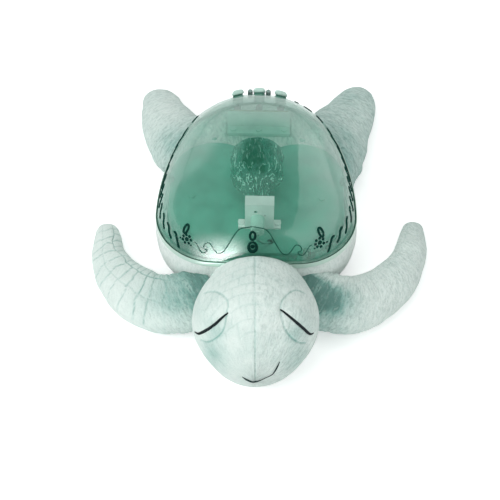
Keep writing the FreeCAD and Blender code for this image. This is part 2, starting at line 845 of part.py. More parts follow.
for side in (-1, 1):
    main_posts.append((side * post_x, size("bay_centre") - post_y))
    main_posts.append((side * post_x, size("bay_centre") + post_y))
speaker_centre = (0.0, -size("speaker_setback"))
speaker_screw_ring = size("speaker_diameter") / 2 + 2.3
speaker_screws = []
for turn in (90, 210, 330):
    speaker_screws.append((speaker_screw_ring * math.cos(math.radians(turn)),
                           speaker_centre[1] + speaker_screw_ring * math.sin(math.radians(turn))))


def make_base_tray():
    """Lower tray: flange, battery bay, grille, columns and bosses."""
    body = new_body("base_tray")
    floor = size("tray_floor")
    inset = size("tray_inset")
    egg_pad(body, "tray_outline", -inset, 0.0, None, deck_bottom, DECK_TEXT)
    egg_pad(body, "flange_outline", -size("flange_inset"), size("flange_level"),
            "{flange_level}", size("flange_thick"), "{flange_thick}")
    egg_pocket(body, "tray_room", -inset - size("tray_wall"), floor, "{tray_floor}",
               deck_bottom - floor, DECK_TEXT + " - {tray_floor}")
    wall = size("bay_wall")
    block = sketch_on(body, "bay_block", "XY_Plane", floor, "{tray_floor}")
    draw(block, rectangle(0.0, (bay_front + bay_rear) / 2, bay_half_x + wall,
                          (bay_rear - bay_front) / 2 + wall))
    pad(body, block, bay_top - floor)
    boss = sketch_on(body, "tongue_boss", "XY_Plane", floor, "{tray_floor}")
    draw(boss, rectangle(0.0, tongue_screw[1], tongue_half + wall, tongue_reach / 2 + wall))
    pad(body, boss, size("tongue_boss_top") - floor, "{tongue_boss_top} - {tray_floor}")
    columns = sketch_on(body, "deck_columns", "XY_Plane", floor, "{tray_floor}")
    for point in deck_screw_points:
        draw_circle(columns, point, "{boss_diameter} / 2")
    pad(body, columns, deck_bottom - floor, DECK_TEXT + " - {tray_floor}")
    posts = sketch_on(body, "board_posts", "XY_Plane", bay_top)
    for point in main_posts:
        draw_circle(posts, point, "{boss_diameter} / 2")
    pad(body, posts, size("board_post"), "{board_post}")
    rests = sketch_on(body, "speaker_bosses", "XY_Plane", floor, "{tray_floor}")
    for point in speaker_screws:
        draw_circle(rests, point, "{boss_diameter} / 2")
    pad(body, rests, size("speaker_rim_thick"), "{speaker_rim_thick}")
    seat = sketch_on(body, "speaker_seat", "XY_Plane", floor, "{tray_floor}")
    draw_circle(seat, speaker_centre, "{speaker_diameter} / 2 + {pilot_play}")
    pocket(body, seat, size("speaker_rim_thick"), "{speaker_rim_thick}")
    room = sketch_on(body, "bay_room")
    draw(room, rectangle(0.0, (bay_front + bay_rear) / 2, bay_half_x, (bay_rear - bay_front) / 2))
    pocket(body, room, bay_roof)
    slot = sketch_on(body, "tongue_room")
    draw(slot, rectangle(0.0, bay_front - tongue_reach / 2, tongue_half + size("door_gap"),
                         tongue_reach / 2 + size("door_gap")))
    pocket(body, slot, size("door_recess") + size("door_thick") + gap,
           "{door_recess} + {door_thick} + {seat_gap}")
    bores = sketch_on(body, "tongue_pilot")
    draw_circle(bores, tongue_screw, "{screw_shank} / 2 + {door_gap}")
    pocket(body, bores, size("tongue_boss_top") - 2.0, "{tongue_boss_top} - 2")
    pilots = sketch_on(body, "deck_pilots", "XY_Plane", deck_bottom - size("screw_reach"))
    for point in deck_screw_points:
        draw_circle(pilots, point, "{screw_shank} / 2 + {pilot_play}")
    pocket(body, pilots, size("screw_reach"), "{screw_reach}")
    short = sketch_on(body, "board_pilots", "XY_Plane", bay_top)
    for point in main_posts:
        draw_circle(short, point, "{screw_shank} / 2 + {pilot_play}")
    pocket(body, short, size("board_post"), "{board_post}")
    shallow = sketch_on(body, "speaker_pilots", "XY_Plane", 0.4 * floor, "0.4 * {tray_floor}")
    for point in speaker_screws:
        draw_circle(shallow, point, "{screw_shank} / 2 + {pilot_play}")
    pocket(body, shallow, floor + size("speaker_rim_thick"))
    holes = sketch_on(body, "dome_screw_holes", "XY_Plane", size("flange_level"), "{flange_level}")
    for point in boss_points:
        draw_circle(holes, point, "{screw_shank} / 2 + {screw_play}")
    pocket(body, holes, size("flange_thick"), "{flange_thick}")
    grille = sketch_on(body, "speaker_grille")
    draw_circle(grille, speaker_centre, "{grille_hole} / 2")
    for ring in range(1, int(size("grille_rings")) + 1):
        reach = ring * size("grille_pitch")
        count = 6 * ring
        for step in range(count):
            angle = 2 * math.pi * step / count
            point = (reach * math.cos(angle), speaker_centre[1] + reach * math.sin(angle))
            draw_circle(grille, point, "{grille_hole} / 2")
    pocket(body, grille, floor, "{tray_floor}")
    hinge = sketch_on(body, "hinge_bore", "YZ_Plane")
    draw_circle(hinge, (hinge_y, hinge_level), "{hinge_pin_diameter} / 2 + {press_play}")
    bore = pocket(body, hinge, hinge_pin_length + 2 * size("press_play"))
    bore.Midplane = True
    return body


def make_battery_door():
    """Door with a hinge barrel along its rear edge and a screw tongue at its front."""
    body = new_body("battery_door")
    play = size("door_gap")
    base = size("door_recess")
    front = bay_front + play
    plate = sketch_on(body, "door_plate", "XY_Plane", base, "{door_recess}")
    half = bay_half_x - play
    tip = bay_front - tongue_reach
    draw(plate, polygon([(-half, front), (-tongue_half, front), (-tongue_half, tip),
                         (tongue_half, tip), (tongue_half, front), (half, front),
                         (half, hinge_y), (-half, hinge_y)]))
    pad(body, plate, size("door_thick"), "{door_thick}")
    barrel = sketch_on(body, "hinge_barrel", "YZ_Plane")
    draw_circle(barrel, (hinge_y, hinge_level), "{barrel_radius}")
    pad(body, barrel, 2 * half, middle=True)
    bore = sketch_on(body, "pin_bore", "YZ_Plane")
    draw_circle(bore, (hinge_y, hinge_level), "{hinge_pin_diameter} / 2 + {hinge_play}")
    through = pocket(body, bore, 2 * half + 2)
    through.Midplane = True
    hole = sketch_on(body, "screw_hole", "XY_Plane", base, "{door_recess}")
    draw_circle(hole, tongue_screw, "{screw_shank} / 2 + {pilot_play}")
    pocket(body, hole, size("door_thick"), "{door_thick}")
    sink = sketch_on(body, "screw_sink", "XY_Plane", base, "{door_recess}")
    draw_circle(sink, tongue_screw, "{screw_head} / 2 + {pilot_play}")
    pocket(body, sink, size("sunk_head_rise"), "{sunk_head_rise}")
    return body


def make_door_screw():
    """Captive screw in the door's tongue."""
    body = new_body("door_screw")
    base = size("door_recess")
    head = sketch_on(body, "head", "XY_Plane", base, "{door_recess}")
    draw_circle(head, tongue_screw, "{screw_head} / 2")
    pad(body, head, size("sunk_head_rise"), "{sunk_head_rise}")
    shank = sketch_on(body, "shank", "XY_Plane", base, "{door_recess}")
    draw_circle(shank, tongue_screw, "{screw_shank} / 2")
    pad(body, shank, 6.0)
    slot = sketch_on(body, "slot", "XY_Plane", base, "{door_recess}")
    draw(slot, rectangle(*tongue_screw, 0.4 * size("screw_head"), 0.4))
    pocket(body, slot, size("sunk_head_rise") / 2, "{sunk_head_rise} / 2")
    return body


def make_hinge_pin():
    """Steel pin held in both side walls of the battery bay."""
    body = new_body("hinge_pin")
    ring = sketch_on(body, "pin", "YZ_Plane")
    draw_circle(ring, (hinge_y, hinge_level), "{hinge_pin_diameter} / 2")
    pad(body, ring, hinge_pin_length, middle=True)
    return body


nub_length = 1.0
nub_radius = 2.7


def make_cells():
    """Three cells laid across the bay in alternate directions."""
    nodes = []
    for count, row in enumerate(cell_rows, start=1):
        body = new_body(f"battery_cell_{count}")
        profile = sketch_on(body, "half_section")
        half = size("cell_length") / 2
        shoulder = half - nub_length
        draw(profile, polygon([(-half, 0), (half, 0), (half, nub_radius), (shoulder, nub_radius),
                               (shoulder, cell_radius), (-half, cell_radius)]))
        spin = body.newObject("PartDesign::Revolution", "Revolution")
        spin.Profile = profile
        spin.ReferenceAxis = (profile, ["H_Axis"])
        spin.Angle = 360.0
        turn = 0.0 if count % 2 else 180.0
        body.Placement = Placement(Vector(0, row, cell_level), Rotation(Vector(0, 0, 1), turn))
        nodes.append(body)
    return nodes


contact_half_height = 5.0
contact_half_width = 4.0


def make_battery_contacts():
    """Bowed leaf contacts, one at each end of each cell."""
    leaves = []
    thick = size("contact_sheet")
    for row in cell_rows:
        for hand in (-1, 1):
            wall_x = hand * bay_half_x
            tip_x = hand * size("cell_length") / 2
            low = cell_level - contact_half_height
            high = cell_level + contact_half_height
            face = Part.Arc(Vector(wall_x, row, low), Vector(tip_x, row, cell_level),
                            Vector(wall_x, row, high))
            back = Part.Arc(Vector(wall_x, row, low + thick),
                            Vector(tip_x + hand * thick, row, cell_level),
                            Vector(wall_x, row, high - thick))
            foot = Part.LineSegment(face.StartPoint, back.StartPoint)
            head = Part.LineSegment(face.EndPoint, back.EndPoint)
            wire = Part.Wire([face.toShape(), head.toShape(), back.toShape(), foot.toShape()])
            leaf = Part.Face(wire).extrude(Vector(0, 2 * contact_half_width, 0))
            leaf.translate(Vector(0, -contact_half_width, 0))
            leaves.append(leaf)
    return shape_node("battery_contacts", Part.makeCompound(leaves))


# Speaker

def turned(label, points, placement):
    """Body turned about its own Z axis from a closed profile of (radius, height) points."""
    body = new_body(label)
    profile = sketch_on(body, "half_section", "XZ_Plane")
    draw(profile, polygon(points))
    spin = body.newObject("PartDesign::Revolution", "Revolution")
    spin.Profile = profile
    spin.ReferenceAxis = (profile, ["V_Axis"])
    spin.Angle = 360.0
    body.Placement = placement
    return body


def make_speaker():
    """Small loudspeaker that faces the grille: basket, cone and magnet."""
    rim = size("speaker_diameter") / 2
    magnet = size("magnet_diameter") / 2
    inner = rim - size("speaker_rim") - 1.5
    place = Placement(Vector(*speaker_centre, size("tray_floor")), Rotation())
    top = size("speaker_height")
    flange = size("speaker_rim_thick")
    frame = turned("speaker_frame", [
        (inner, 0), (rim, 0), (rim, flange), (rim - size("speaker_rim"), flange),
        (magnet, top - 1), (magnet, top), (7.0, top), (7.0, top - 1), (magnet - 1.2, top - 1),
        (inner, flange - 0.4)], place)
    cone = turned("speaker_cone", [
        (0, 4.4), (5.0, 3.4), (6.4, 5.6), (inner - 2.0, 0.9), (inner, 0.4), (inner, 0.9),
        (inner - 1.8, 1.5), (6.6, 6.4), (5.6, 6.4), (4.6, 4.2), (0, 5.1)], place)
    disc = turned("speaker_magnet", [
        (0, top), (magnet, top), (magnet, top + size("magnet_thick")),
        (0, top + size("magnet_thick"))], place)
    screws = []
    for count, point in enumerate(speaker_screws):
        screws.append(screw(f"speaker_screw_{count}", point,
                            size("tray_floor") + flange, False, 3.0))
    return [frame, cone, disc, group("speaker_screws", screws)]


# Circuit boards

def block_part(label, low, high):
    """Box between two corners."""
    box = doc.addObject("Part::Box", label)
    box.Length = high[0] - low[0]
    box.Width = high[1] - low[1]
    box.Height = high[2] - low[2]
    box.Placement.Base = Vector(*low)
    return box


socket_depth = 5.0
socket_rise = 5.0
button_socket_y = size("bay_centre") + 0.39 * size("main_board_depth")


def make_main_board():
    """Main circuit board over the battery bay, with its parts and screws."""
    body = new_body("main_board")
    outline = sketch_on(body, "outline", "XY_Plane", board_level)
    draw(outline, rectangle(0.0, size("bay_centre"), size("main_board_width") / 2,
                            size("main_board_depth") / 2))
    pad(body, outline, size("board_thick"), "{board_thick}")
    holes = sketch_on(body, "holes", "XY_Plane", board_level)
    for point in main_posts:
        draw_circle(holes, point, "{screw_shank} / 2 + {screw_play}")
    pocket(body, holes, size("board_thick"), "{board_thick}")
    top = board_top
    middle = size("bay_centre")
    chips = [
        block_part("sound_chip", (-16, middle - 6, top), (-2, middle + 6, top + 1.8)),
        block_part("memory_chip", (5, middle - 3, top), (13, middle + 3, top + 1.6)),
        block_part("speaker_socket", (-3.5, board_front + 0.5, top),
                   (3.5, board_front + 4, top + socket_rise)),
        block_part("button_socket", (-9, button_socket_y - socket_depth / 2, top),
                   (9, button_socket_y + socket_depth / 2, top + socket_rise)),
    ]
    drum = doc.addObject("Part::Cylinder", "reservoir")
    drum.Radius = 4.0
    drum.Height = 9.0
    drum.Placement.Base = Vector(0.3 * size("main_board_width"), middle + 4, top)
    screws = []
    for count, point in enumerate(main_posts):
        screws.append(screw(f"board_screw_{count}", point, top, False, 5.0))
    return [body, group("main_board_parts", chips + [drum]), group("board_screws", screws)]


def make_control_pod():
    """Hollow wedge that carries the button board under the rear of the dome."""
    body = new_body("control_pod")
    side = sketch_on(body, "side_view", "YZ_Plane")
    ledge = deck_top + size("ledge_rise")
    draw(side, polygon([(pod_front, deck_top), (pod_low.y, deck_top), (pod_low.y, pod_low.z),
                        (pod_top.y, pod_top.z), (pod_top.y, ledge), (pod_front, ledge)]))
    pad(body, side, 2 * size("pod_half_width"), "2 * {pod_half_width}", middle=True)
    wall = size("pod_wall")
    room = sketch_on(body, "hollow", "YZ_Plane")
    steep = wall / math.cos(lean)
    draw(room, polygon([(pod_top.y + wall, deck_top), (pod_low.y - wall, deck_top),
                        (pod_low.y - wall, pod_low.z + wall * math.tan(lean) - steep),
                        (pod_top.y + wall, pod_top.z - wall * math.tan(lean) - steep)]))
    hollow = pocket(body, room, 2 * (size("pod_half_width") - wall),
                    "2 * ({pod_half_width} - {pod_wall})")
    hollow.Midplane = True
    holes = sketch_on(body, "screw_holes", "XY_Plane", deck_top, RIM_TEXT)
    for point in ledge_screws:
        draw_circle(holes, point, "{screw_shank} / 2 + {pilot_play}")
    pocket(body, holes, size("ledge_rise"), "{ledge_rise}")
    wires = sketch_at(body, "lead_hole", button_frame(0.0, 0.0, pod_back_out - 2 * wall))
    draw_circle(wires, (0.0, 0.0), "{lead_hole_diameter} / 2")
    pocket(body, wires, 4 * wall)
    return body


def make_control_board():
    """Button board on the pod's slope, with a switch under each button."""
    half = size("pod_half_width") - 2.0
    thick = size("board_thick")
    board = block_part("control_board", (0, 0, 0), (2 * half, 2 * pod_half_slope - 2.0, thick))
    bind(board, "Height", "{board_thick}")
    board.Placement = button_frame(-half, 1.0 - pod_half_slope, -size("board_drop") - thick)
    bodies = []
    plungers = []
    for name, hand, _ in BUTTONS:
        across = hand * size("button_pitch")
        body = new_body(f"{name}_switch")
        square = sketch_on(body, "square")
        draw(square, rectangle(0.0, 0.0, size("switch_size") / 2, size("switch_size") / 2))
        pad(body, square, size("switch_height"), "{switch_height}")
        bore = sketch_on(body, "bore", "XY_Plane", 0.5)
        draw_circle(bore, (0.0, 0.0), "{plunger_diameter} / 2 + {running_play}")
        pocket(body, bore, size("switch_height"))
        body.Placement = button_frame(across, 0.0, -size("board_drop"))
        bodies.append(body)
        plunger = doc.addObject("Part::Cylinder", f"{name}_plunger")
        plunger.Label = f"{name}_plunger"
        bind(plunger, "Radius", "{plunger_diameter} / 2")
        plunger.Height = plunger_top - plunger_foot
        plunger.Placement = button_frame(across, 0.0, plunger_foot)
        plungers.append(plunger)
    return [board, group("switch_bodies", bodies)] + plungers


plunger_foot = -size("board_drop") + 0.6 + size("button_travel")
plunger_top = -size("board_drop") + size("switch_height") + 2.0


def make_buttons():
    """Three push buttons: cap, inner stop flange and stem down to the switch."""
    nodes = []
    half = size("button_width") / 2 + size("button_flange")
    for name, hand, kind in BUTTONS:
        across = hand * size("button_pitch")
        drop = surface_drop(across)
        edge_drop = surface_drop(abs(across) + half) - surface_drop(abs(across))
        flange_top = -size("dome_wall") - edge_drop - 0.5
        flange_low = flange_top - size("button_flange")
        stem_low = plunger_top + drop
        body = new_body(name)
        cap = sketch_on(body, "cap", "XY_Plane", flange_top)
        draw(cap, polygon(button_outline(kind)))
        pad(body, cap, size("button_proud") - flange_top)
        crown = sketch_on(body, "crown", "XY_Plane", size("button_proud"), "{button_proud}")
        draw(crown, polygon(button_outline(kind, -1.5)))
        pad(body, crown, 0.6)
        stop = sketch_on(body, "stop", "XY_Plane", flange_low)
        draw(stop, polygon(button_outline(kind, size("button_flange"))))
        pad(body, stop, size("button_flange"), "{button_flange}")
        stem = sketch_on(body, "stem", "XY_Plane", stem_low)
        draw_circle(stem, (0.0, 0.0), "{plunger_diameter} / 2 + 0.8")
        pad(body, stem, flange_low - stem_low)
        body.Placement = button_frame(across, 0.0, -drop, hand * size("button_twist"))
        nodes.append(body)
    return nodes


def make_indicator_lenses():
    """Two small round lamp lenses beside the middle button."""
    nodes = []
    radius = size("lens_diameter") / 2
    for side, hand in (("left", 1), ("right", -1)):
        across = hand * size("lens_offset")
        body = new_body(f"indicator_lens_{side}")
        profile = sketch_on(body, "half_section", "XZ_Plane")
        low = -size("dome_wall")
        stem = size("lens_stem")
        draw(profile, [line((0, low), (radius, low)), line((radius, low), (radius, stem)),
                       arc_edge((0, stem), radius, 0.0, math.pi / 2),
                       line((0, stem + radius), (0, low))])
        spin = body.newObject("PartDesign::Revolution", "Revolution")
        spin.Profile = profile
        spin.ReferenceAxis = (profile, ["V_Axis"])
        spin.Angle = 360.0
        body.Placement = button_frame(across, 0.0, -surface_drop(across))
        nodes.append(body)
    return nodes


# Wave drum and its drive: stations along Y, all from the drum's rear end

drum_level = plateau_top + size("drum_radius") + size("drum_clearance")
drum_axis = Vector(0, 0, drum_level)
taper_start = size("drum_rear") - size("drum_body_length")
neck_start = taper_start - size("drum_taper_length")
neck_end = neck_start - size("neck_length")
case_back = neck_end - gap
gear_back = case_back - size("case_wall") - size("gear_gap")
gear_front = gear_back - size("gear_width")
train_back = gear_front - size("gear_gap")
train_front = train_back - size("gear_width")
cover_back = train_front - size("gear_gap")
cover_front = cover_back - size("case_wall")
module = size("gear_module")


def gear_reach(first, second):
    """Centre distance of two gears of the set."""
    return module * (size(first) + size(second)) / 2 + size("gear_play")


idler_turn = math.radians(size("idler_angle"))
idler_distance = gear_reach("drum_teeth", "idler_small_teeth")
idler_x = idler_distance * math.cos(idler_turn)
idler_z = drum_level + idler_distance * math.sin(idler_turn)
pinion_turn = math.radians(size("pinion_angle"))
pinion_distance = gear_reach("idler_large_teeth", "pinion_teeth")
pinion_x = idler_x + pinion_distance * math.cos(pinion_turn)
pinion_z = idler_z + pinion_distance * math.sin(pinion_turn)

case_margin = size("case_room") + size("case_wall")
drum_gear_tip = module * (size("drum_teeth") / 2 + 1)
idler_tip = module * (size("idler_large_teeth") / 2 + 1)
pinion_tip = module * (size("pinion_teeth") / 2 + 1)
case_left = -drum_gear_tip - case_margin
case_right = idler_x + idler_tip + case_margin
case_bottom = pinion_z - pinion_tip - case_margin
case_top = drum_level + drum_gear_tip + case_margin
case_foot = size("case_foot")
case_foot_rise = size("case_foot_rise")
foot_screw_inset = 0.6 * case_foot
case_middle_y = (case_back + cover_back) / 2
case_screws = [(case_left - foot_screw_inset, case_middle_y),
               (case_right + foot_screw_inset, case_middle_y)]
bracket_play = 3.0
bracket_back = size("drum_rear") + bracket_play + size("bracket_thick")
bracket_foot = size("bracket_foot")
bracket_screw_x = size("bracket_half_width") + bracket_foot / 2
bracket_screw_y = bracket_back - size("bracket_thick") / 2
bracket_screws = [(-bracket_screw_x, bracket_screw_y), (bracket_screw_x, bracket_screw_y)]


def drum_profile(shrink):
    """Half section of the bell-shaped drum as (y, radius) edges, shrunk for the inside."""
    rear = size("drum_rear") - shrink
    radius = size("drum_radius") - shrink
    neck = size("neck_radius") - shrink
    end = neck_end + shrink
    corner = size("drum_corner") - shrink
    length = taper_start - neck_start
    fall = radius - neck
    bend = (length ** 2 + fall ** 2) / (4 * fall)
    turn = 2 * math.atan2(fall, length)
    quarter = math.pi / 2
    return [
        line((end, 0), (rear, 0)),
        line((rear, 0), (rear, radius - corner)),
        arc_edge((rear - corner, radius - corner), corner, 0.0, quarter),
        line((rear - corner, radius), (taper_start, radius)),
        arc_edge((taper_start, radius - bend), bend, quarter, quarter + turn),
        arc_edge((neck_start, neck + bend), bend, -quarter, -quarter + turn),
        line((neck_start, neck), (end, neck)),
        line((end, neck), (end, 0)),
    ]


def round_section(body, name, radius_text):
    """Circle about the body's own Z axis."""
    sketch = sketch_on(body, name)
    draw_circle(sketch, (0.0, 0.0), radius_text)
    return sketch


def forward(x, y, z):
    """Placement whose own Z axis points to the front, along -Y."""
    return Placement(Vector(x, y, z), Rotation(Vector(1, 0, 0), 90))


def make_wave_drum():
    """Clear rippled drum: bell, neck, gear hub and front journal in one moulding."""
    body = new_body("wave_drum")
    profile = sketch_on(body, "outside", "YZ_Plane")
    draw(profile, drum_profile(0.0))
    spin = body.newObject("PartDesign::Revolution", "Revolution")
    spin.Profile = profile
    spin.ReferenceAxis = (profile, ["H_Axis"])
    spin.Angle = 360.0
    inside = sketch_on(body, "inside", "YZ_Plane")
    draw(inside, drum_profile(size("drum_wall")))
    hollow = body.newObject("PartDesign::Groove", "Groove")
    hollow.Profile = inside
    hollow.ReferenceAxis = (inside, ["H_Axis"])
    hollow.Angle = 360.0
    bore = sketch_on(body, "bearing_bore", "XZ_Plane", -size("drum_rear") - 1.0)
    draw_circle(bore, (0.0, 0.0), "{bearing_diameter} / 2 + {running_play}")
    pocket(body, bore, size("drum_wall") + 2.0)
    hub = sketch_on(body, "gear_hub", "XZ_Plane", -neck_end)
    draw_circle(hub, (0.0, 0.0), "{gear_hub_diameter} / 2")
    pad(body, hub, neck_end - gear_front)
    journal = sketch_on(body, "journal", "XZ_Plane", -gear_front)
    draw_circle(journal, (0.0, 0.0), "{journal_diameter} / 2")
    pad(body, journal, gear_front - cover_front)
    body.Placement = Placement(drum_axis, Rotation())
    bind(body, "Placement.Base.z", DRUM_TEXT)
    return body


def gear_outline(teeth, phase):
    """Closed outline of a spur gear; phase is the direction of one tooth in radians."""
    pitch_radius = module * teeth / 2
    tip = pitch_radius + 0.95 * module
    root = pitch_radius - 1.2 * module
    half_pitch = math.pi * module / 4 * 0.8
    lean_in = math.tan(math.radians(20))
    points = []
    for tooth in range(int(teeth)):
        middle = phase + 2 * math.pi * tooth / teeth
        for radius, side in ((root, -1), (tip, -1), (tip, 1), (root, 1)):
            half = half_pitch - (radius - pitch_radius) * lean_in
            angle = middle + side * half / radius
            points.append((radius * math.cos(angle), radius * math.sin(angle)))
    return points


def gear_pad(body, name, teeth, phase, level):
    """One toothed ring as a pad of its outline."""
    sketch = sketch_on(body, name, "XY_Plane", level)
    draw(sketch, polygon(gear_outline(teeth, phase)))
    return pad(body, sketch, size("gear_width"), "{gear_width}")


def make_gears():
    """Drum gear, two-step idler and motor pinion, each with a tooth set into a gap."""
    half_turn = math.pi
    drum_gear = new_body("drum_gear")
    gear_pad(drum_gear, "teeth", size("drum_teeth"), idler_turn, 0.0)
    pocket(drum_gear, round_section(drum_gear, "bore", "{gear_hub_diameter} / 2 + {press_play}"),
           size("gear_width"), "{gear_width}")
    drum_gear.Placement = forward(0, gear_back, drum_level)

    idler = new_body("idler_gear")
    small = size("idler_small_teeth")
    gear_pad(idler, "small_teeth", small, idler_turn + half_turn + half_turn / small, 0.0)
    pad(idler, round_section(idler, "shoulder", "{idler_pin_diameter} / 2 + 0.8"),
        gear_back - train_front)
    gear_pad(idler, "large_teeth", size("idler_large_teeth"), pinion_turn, gear_back - train_back)
    pocket(idler, round_section(idler, "bore", "{idler_pin_diameter} / 2 + {running_play}"),
           gear_back - train_front)
    idler.Placement = forward(idler_x, gear_back, idler_z)

    pinion = new_body("motor_pinion")
    teeth = size("pinion_teeth")
    gear_pad(pinion, "teeth", teeth, pinion_turn + half_turn + half_turn / teeth, 0.0)
    pad(pinion, round_section(pinion, "shaft", "{motor_shaft} / 2"),
        train_back - cover_front + size("motor_shaft_reach"))
    pinion.Placement = forward(pinion_x, train_back, pinion_z)
    return [drum_gear, idler, pinion]


def upright_rectangle(body, name, y, low, high):
    """Rectangle in a plane of constant y, between two (x, z) corners."""
    sketch = sketch_on(body, name, "XZ_Plane", -y)
    draw(sketch, rectangle((low[0] + high[0]) / 2, (low[1] + high[1]) / 2,
                           (high[0] - low[0]) / 2, (high[1] - low[1]) / 2))
    return sketch


def make_gearbox():
    """White gear case on its foot, its front cover, the idler's pin and the screws."""
    case = new_body("gearbox_case")
    depth = case_back - cover_back
    outside = upright_rectangle(case, "outside", case_back, (case_left, plateau_top),
                                (case_right, case_top))
    pad(case, outside, depth)
    foot = upright_rectangle(case, "foot", case_back,
                             (case_left - case_foot, plateau_top),
                             (case_right + case_foot, plateau_top + case_foot_rise))
    pad(case, foot, depth)
    wall = size("case_wall")
    room = upright_rectangle(case, "room", case_back - wall, (case_left + wall,
                             case_bottom + wall), (case_right - wall, case_top - wall))
    pocket(case, room, depth)
    neck = sketch_on(case, "neck_hole", "XZ_Plane", -case_back - 1.0)
    draw_circle(neck, (0.0, drum_level), "{gear_hub_diameter} / 2 + 0.5")
    pocket(case, neck, wall + 2.0)
    pin_hole = sketch_on(case, "pin_hole", "XZ_Plane", -case_back - 1.0)
    draw_circle(pin_hole, (idler_x, idler_z), "{idler_pin_diameter} / 2 + {press_play}")
    pocket(case, pin_hole, wall + 2.0)
    holes = sketch_on(case, "screw_holes", "XY_Plane", plateau_top)
    for point in case_screws:
        draw_circle(holes, point, "{screw_shank} / 2 + {screw_play}")
    pocket(case, holes, case_foot_rise)

    cover = new_body("gearbox_cover")
    plate = upright_rectangle(cover, "plate", cover_back, (case_left, plateau_top + 3.0),
                              (case_right, case_top))
    pad(cover, plate, wall, "{case_wall}")
    bores = sketch_on(cover, "bores", "XZ_Plane", -cover_back)
    draw_circle(bores, (0.0, drum_level), "{journal_diameter} / 2 + {running_play}")
    draw_circle(bores, (idler_x, idler_z), "{idler_pin_diameter} / 2 + {press_play}")
    draw_circle(bores, (pinion_x, pinion_z), "{motor_shaft} / 2 + {running_play}")
    pocket(cover, bores, wall, "{case_wall}")

    pin = new_body("idler_pin")
    rod = sketch_on(pin, "rod", "XZ_Plane", -case_back)
    draw_circle(rod, (idler_x, idler_z), "{idler_pin_diameter} / 2")
    pad(pin, rod, case_back - cover_front)

    screws = []
    for count, point in enumerate(case_screws):
        screws.append(screw(f"case_screw_{count}", point, plateau_top + case_foot_rise,
                            False, 6.5))
    for count, point in enumerate(bracket_screws):
        screws.append(screw(f"bracket_screw_{count}", point, plateau_top + case_foot_rise,
                            False, 6.5))
    return [case, cover, pin, group("frame_screws", screws)]


def make_motor():
    """Small round motor behind the cover, with a clearance bore for its shaft."""
    can = new_body("motor_can")
    sketch = sketch_on(can, "can", "XZ_Plane", -cover_front)
    draw_circle(sketch, (pinion_x, pinion_z), "{motor_diameter} / 2")
    pad(can, sketch, size("motor_length"), "{motor_length}")
    tail = sketch_on(can, "rear_boss", "XZ_Plane", -cover_front + size("motor_length"))
    draw_circle(tail, (pinion_x, pinion_z), "{motor_diameter} / 5")
    pad(can, tail, 1.2)
    bore = sketch_on(can, "shaft_bore", "XZ_Plane", -cover_front)
    draw_circle(bore, (pinion_x, pinion_z), "{motor_shaft} / 2 + {running_play}")
    pocket(can, bore, size("motor_shaft_reach") + 0.5, "{motor_shaft_reach} + 0.5")
    return can


def make_drum_bracket():
    """Upright behind the drum: its boss is the drum's rear bearing and holds the lamp board."""
    body = new_body("drum_bracket")
    half = size("bracket_half_width")
    thick = size("bracket_thick")
    top = drum_level + size("bearing_diameter") / 2 + 4.0
    plate = upright_rectangle(body, "plate", bracket_back, (-half, plateau_top), (half, top))
    pad(body, plate, thick, "{bracket_thick}")
    foot = upright_rectangle(body, "foot", bracket_back, (-half - bracket_foot, plateau_top),
                             (half + bracket_foot, plateau_top + case_foot_rise))
    pad(body, foot, thick, "{bracket_thick}")
    boss = sketch_on(body, "boss", "XZ_Plane", -bracket_back)
    draw_circle(boss, (0.0, drum_level), "{bearing_diameter} / 2")
    pad(body, boss, bracket_back - size("drum_rear") + size("drum_wall") + 2.0)
    slot = upright_rectangle(body, "board_slot", bracket_back + 1.0,
                             (-led_half - 0.05, drum_level - led_half_thick - 0.05),
                             (led_half + 0.05, drum_level + led_half_thick + 0.05))
    pocket(body, slot, 20.0)
    holes = sketch_on(body, "screw_holes", "XY_Plane", plateau_top)
    for point in bracket_screws:
        draw_circle(holes, point, "{screw_shank} / 2 + {pilot_play}")
    pocket(body, holes, case_foot_rise)
    return body


led_half = size("led_board_width") / 2
led_half_thick = size("board_thick") / 2
led_front = taper_start - 6.0
led_rear = bracket_back + 3.0


def make_lamp():
    """Lamp board that reaches into the drum, with its row of light-emitting diodes."""
    axis = drum_level
    board = block_part("led_board", (-led_half, led_front, axis - led_half_thick),
                       (led_half, led_rear, axis + led_half_thick))
    bind(board, "Height", "{board_thick}")
    bulbs = []
    radius = size("led_diameter") / 2
    count = int(size("led_count"))
    stem_rise = 0.75 * size("led_diameter")
    for place in range(count):
        y = led_front + 4.0 + place * size("led_pitch")
        base = Vector(0, y, axis + led_half_thick)
        stem = Part.makeCylinder(radius, stem_rise, base)
        dome = Part.makeSphere(radius, base + Vector(0, 0, stem_rise), Vector(0, 0, 1), 0, 90)
        bulbs.append(stem.fuse(dome))
    return [board, shape_node("led_emitters", Part.makeCompound(bulbs))]


# Internal leads: straight runs joined by tangent arcs

def tube(points, radius):
    """Round lead along a route, with each corner rounded as widely as its runs allow."""
    path = []
    start = points[0]
    for before, corner, after in zip(points, points[1:], points[2:]):
        arrive = (corner - before).normalize()
        leave = (after - corner).normalize()
        half_turn = arrive.getAngle(leave) / 2
        run = 0.45 * min((corner - before).Length, (after - corner).Length)
        first = corner - arrive * run
        last = corner + leave * run
        bend = run / math.tan(half_turn)
        inward = (leave - arrive).normalize()
        centre = corner + inward * math.hypot(bend, run)
        middle = centre - inward * bend
        path.append(Part.LineSegment(start, first).toShape())
        path.append(Part.Arc(first, middle, last).toShape())
        start = last
    path.append(Part.LineSegment(start, points[-1]).toShape())
    spine = Part.Wire(path)
    direction = points[1] - points[0]
    ring = Part.Wire([Part.Circle(points[0], direction, radius).toShape()])
    solid = spine.makePipeShell([ring], True, False)
    return solid


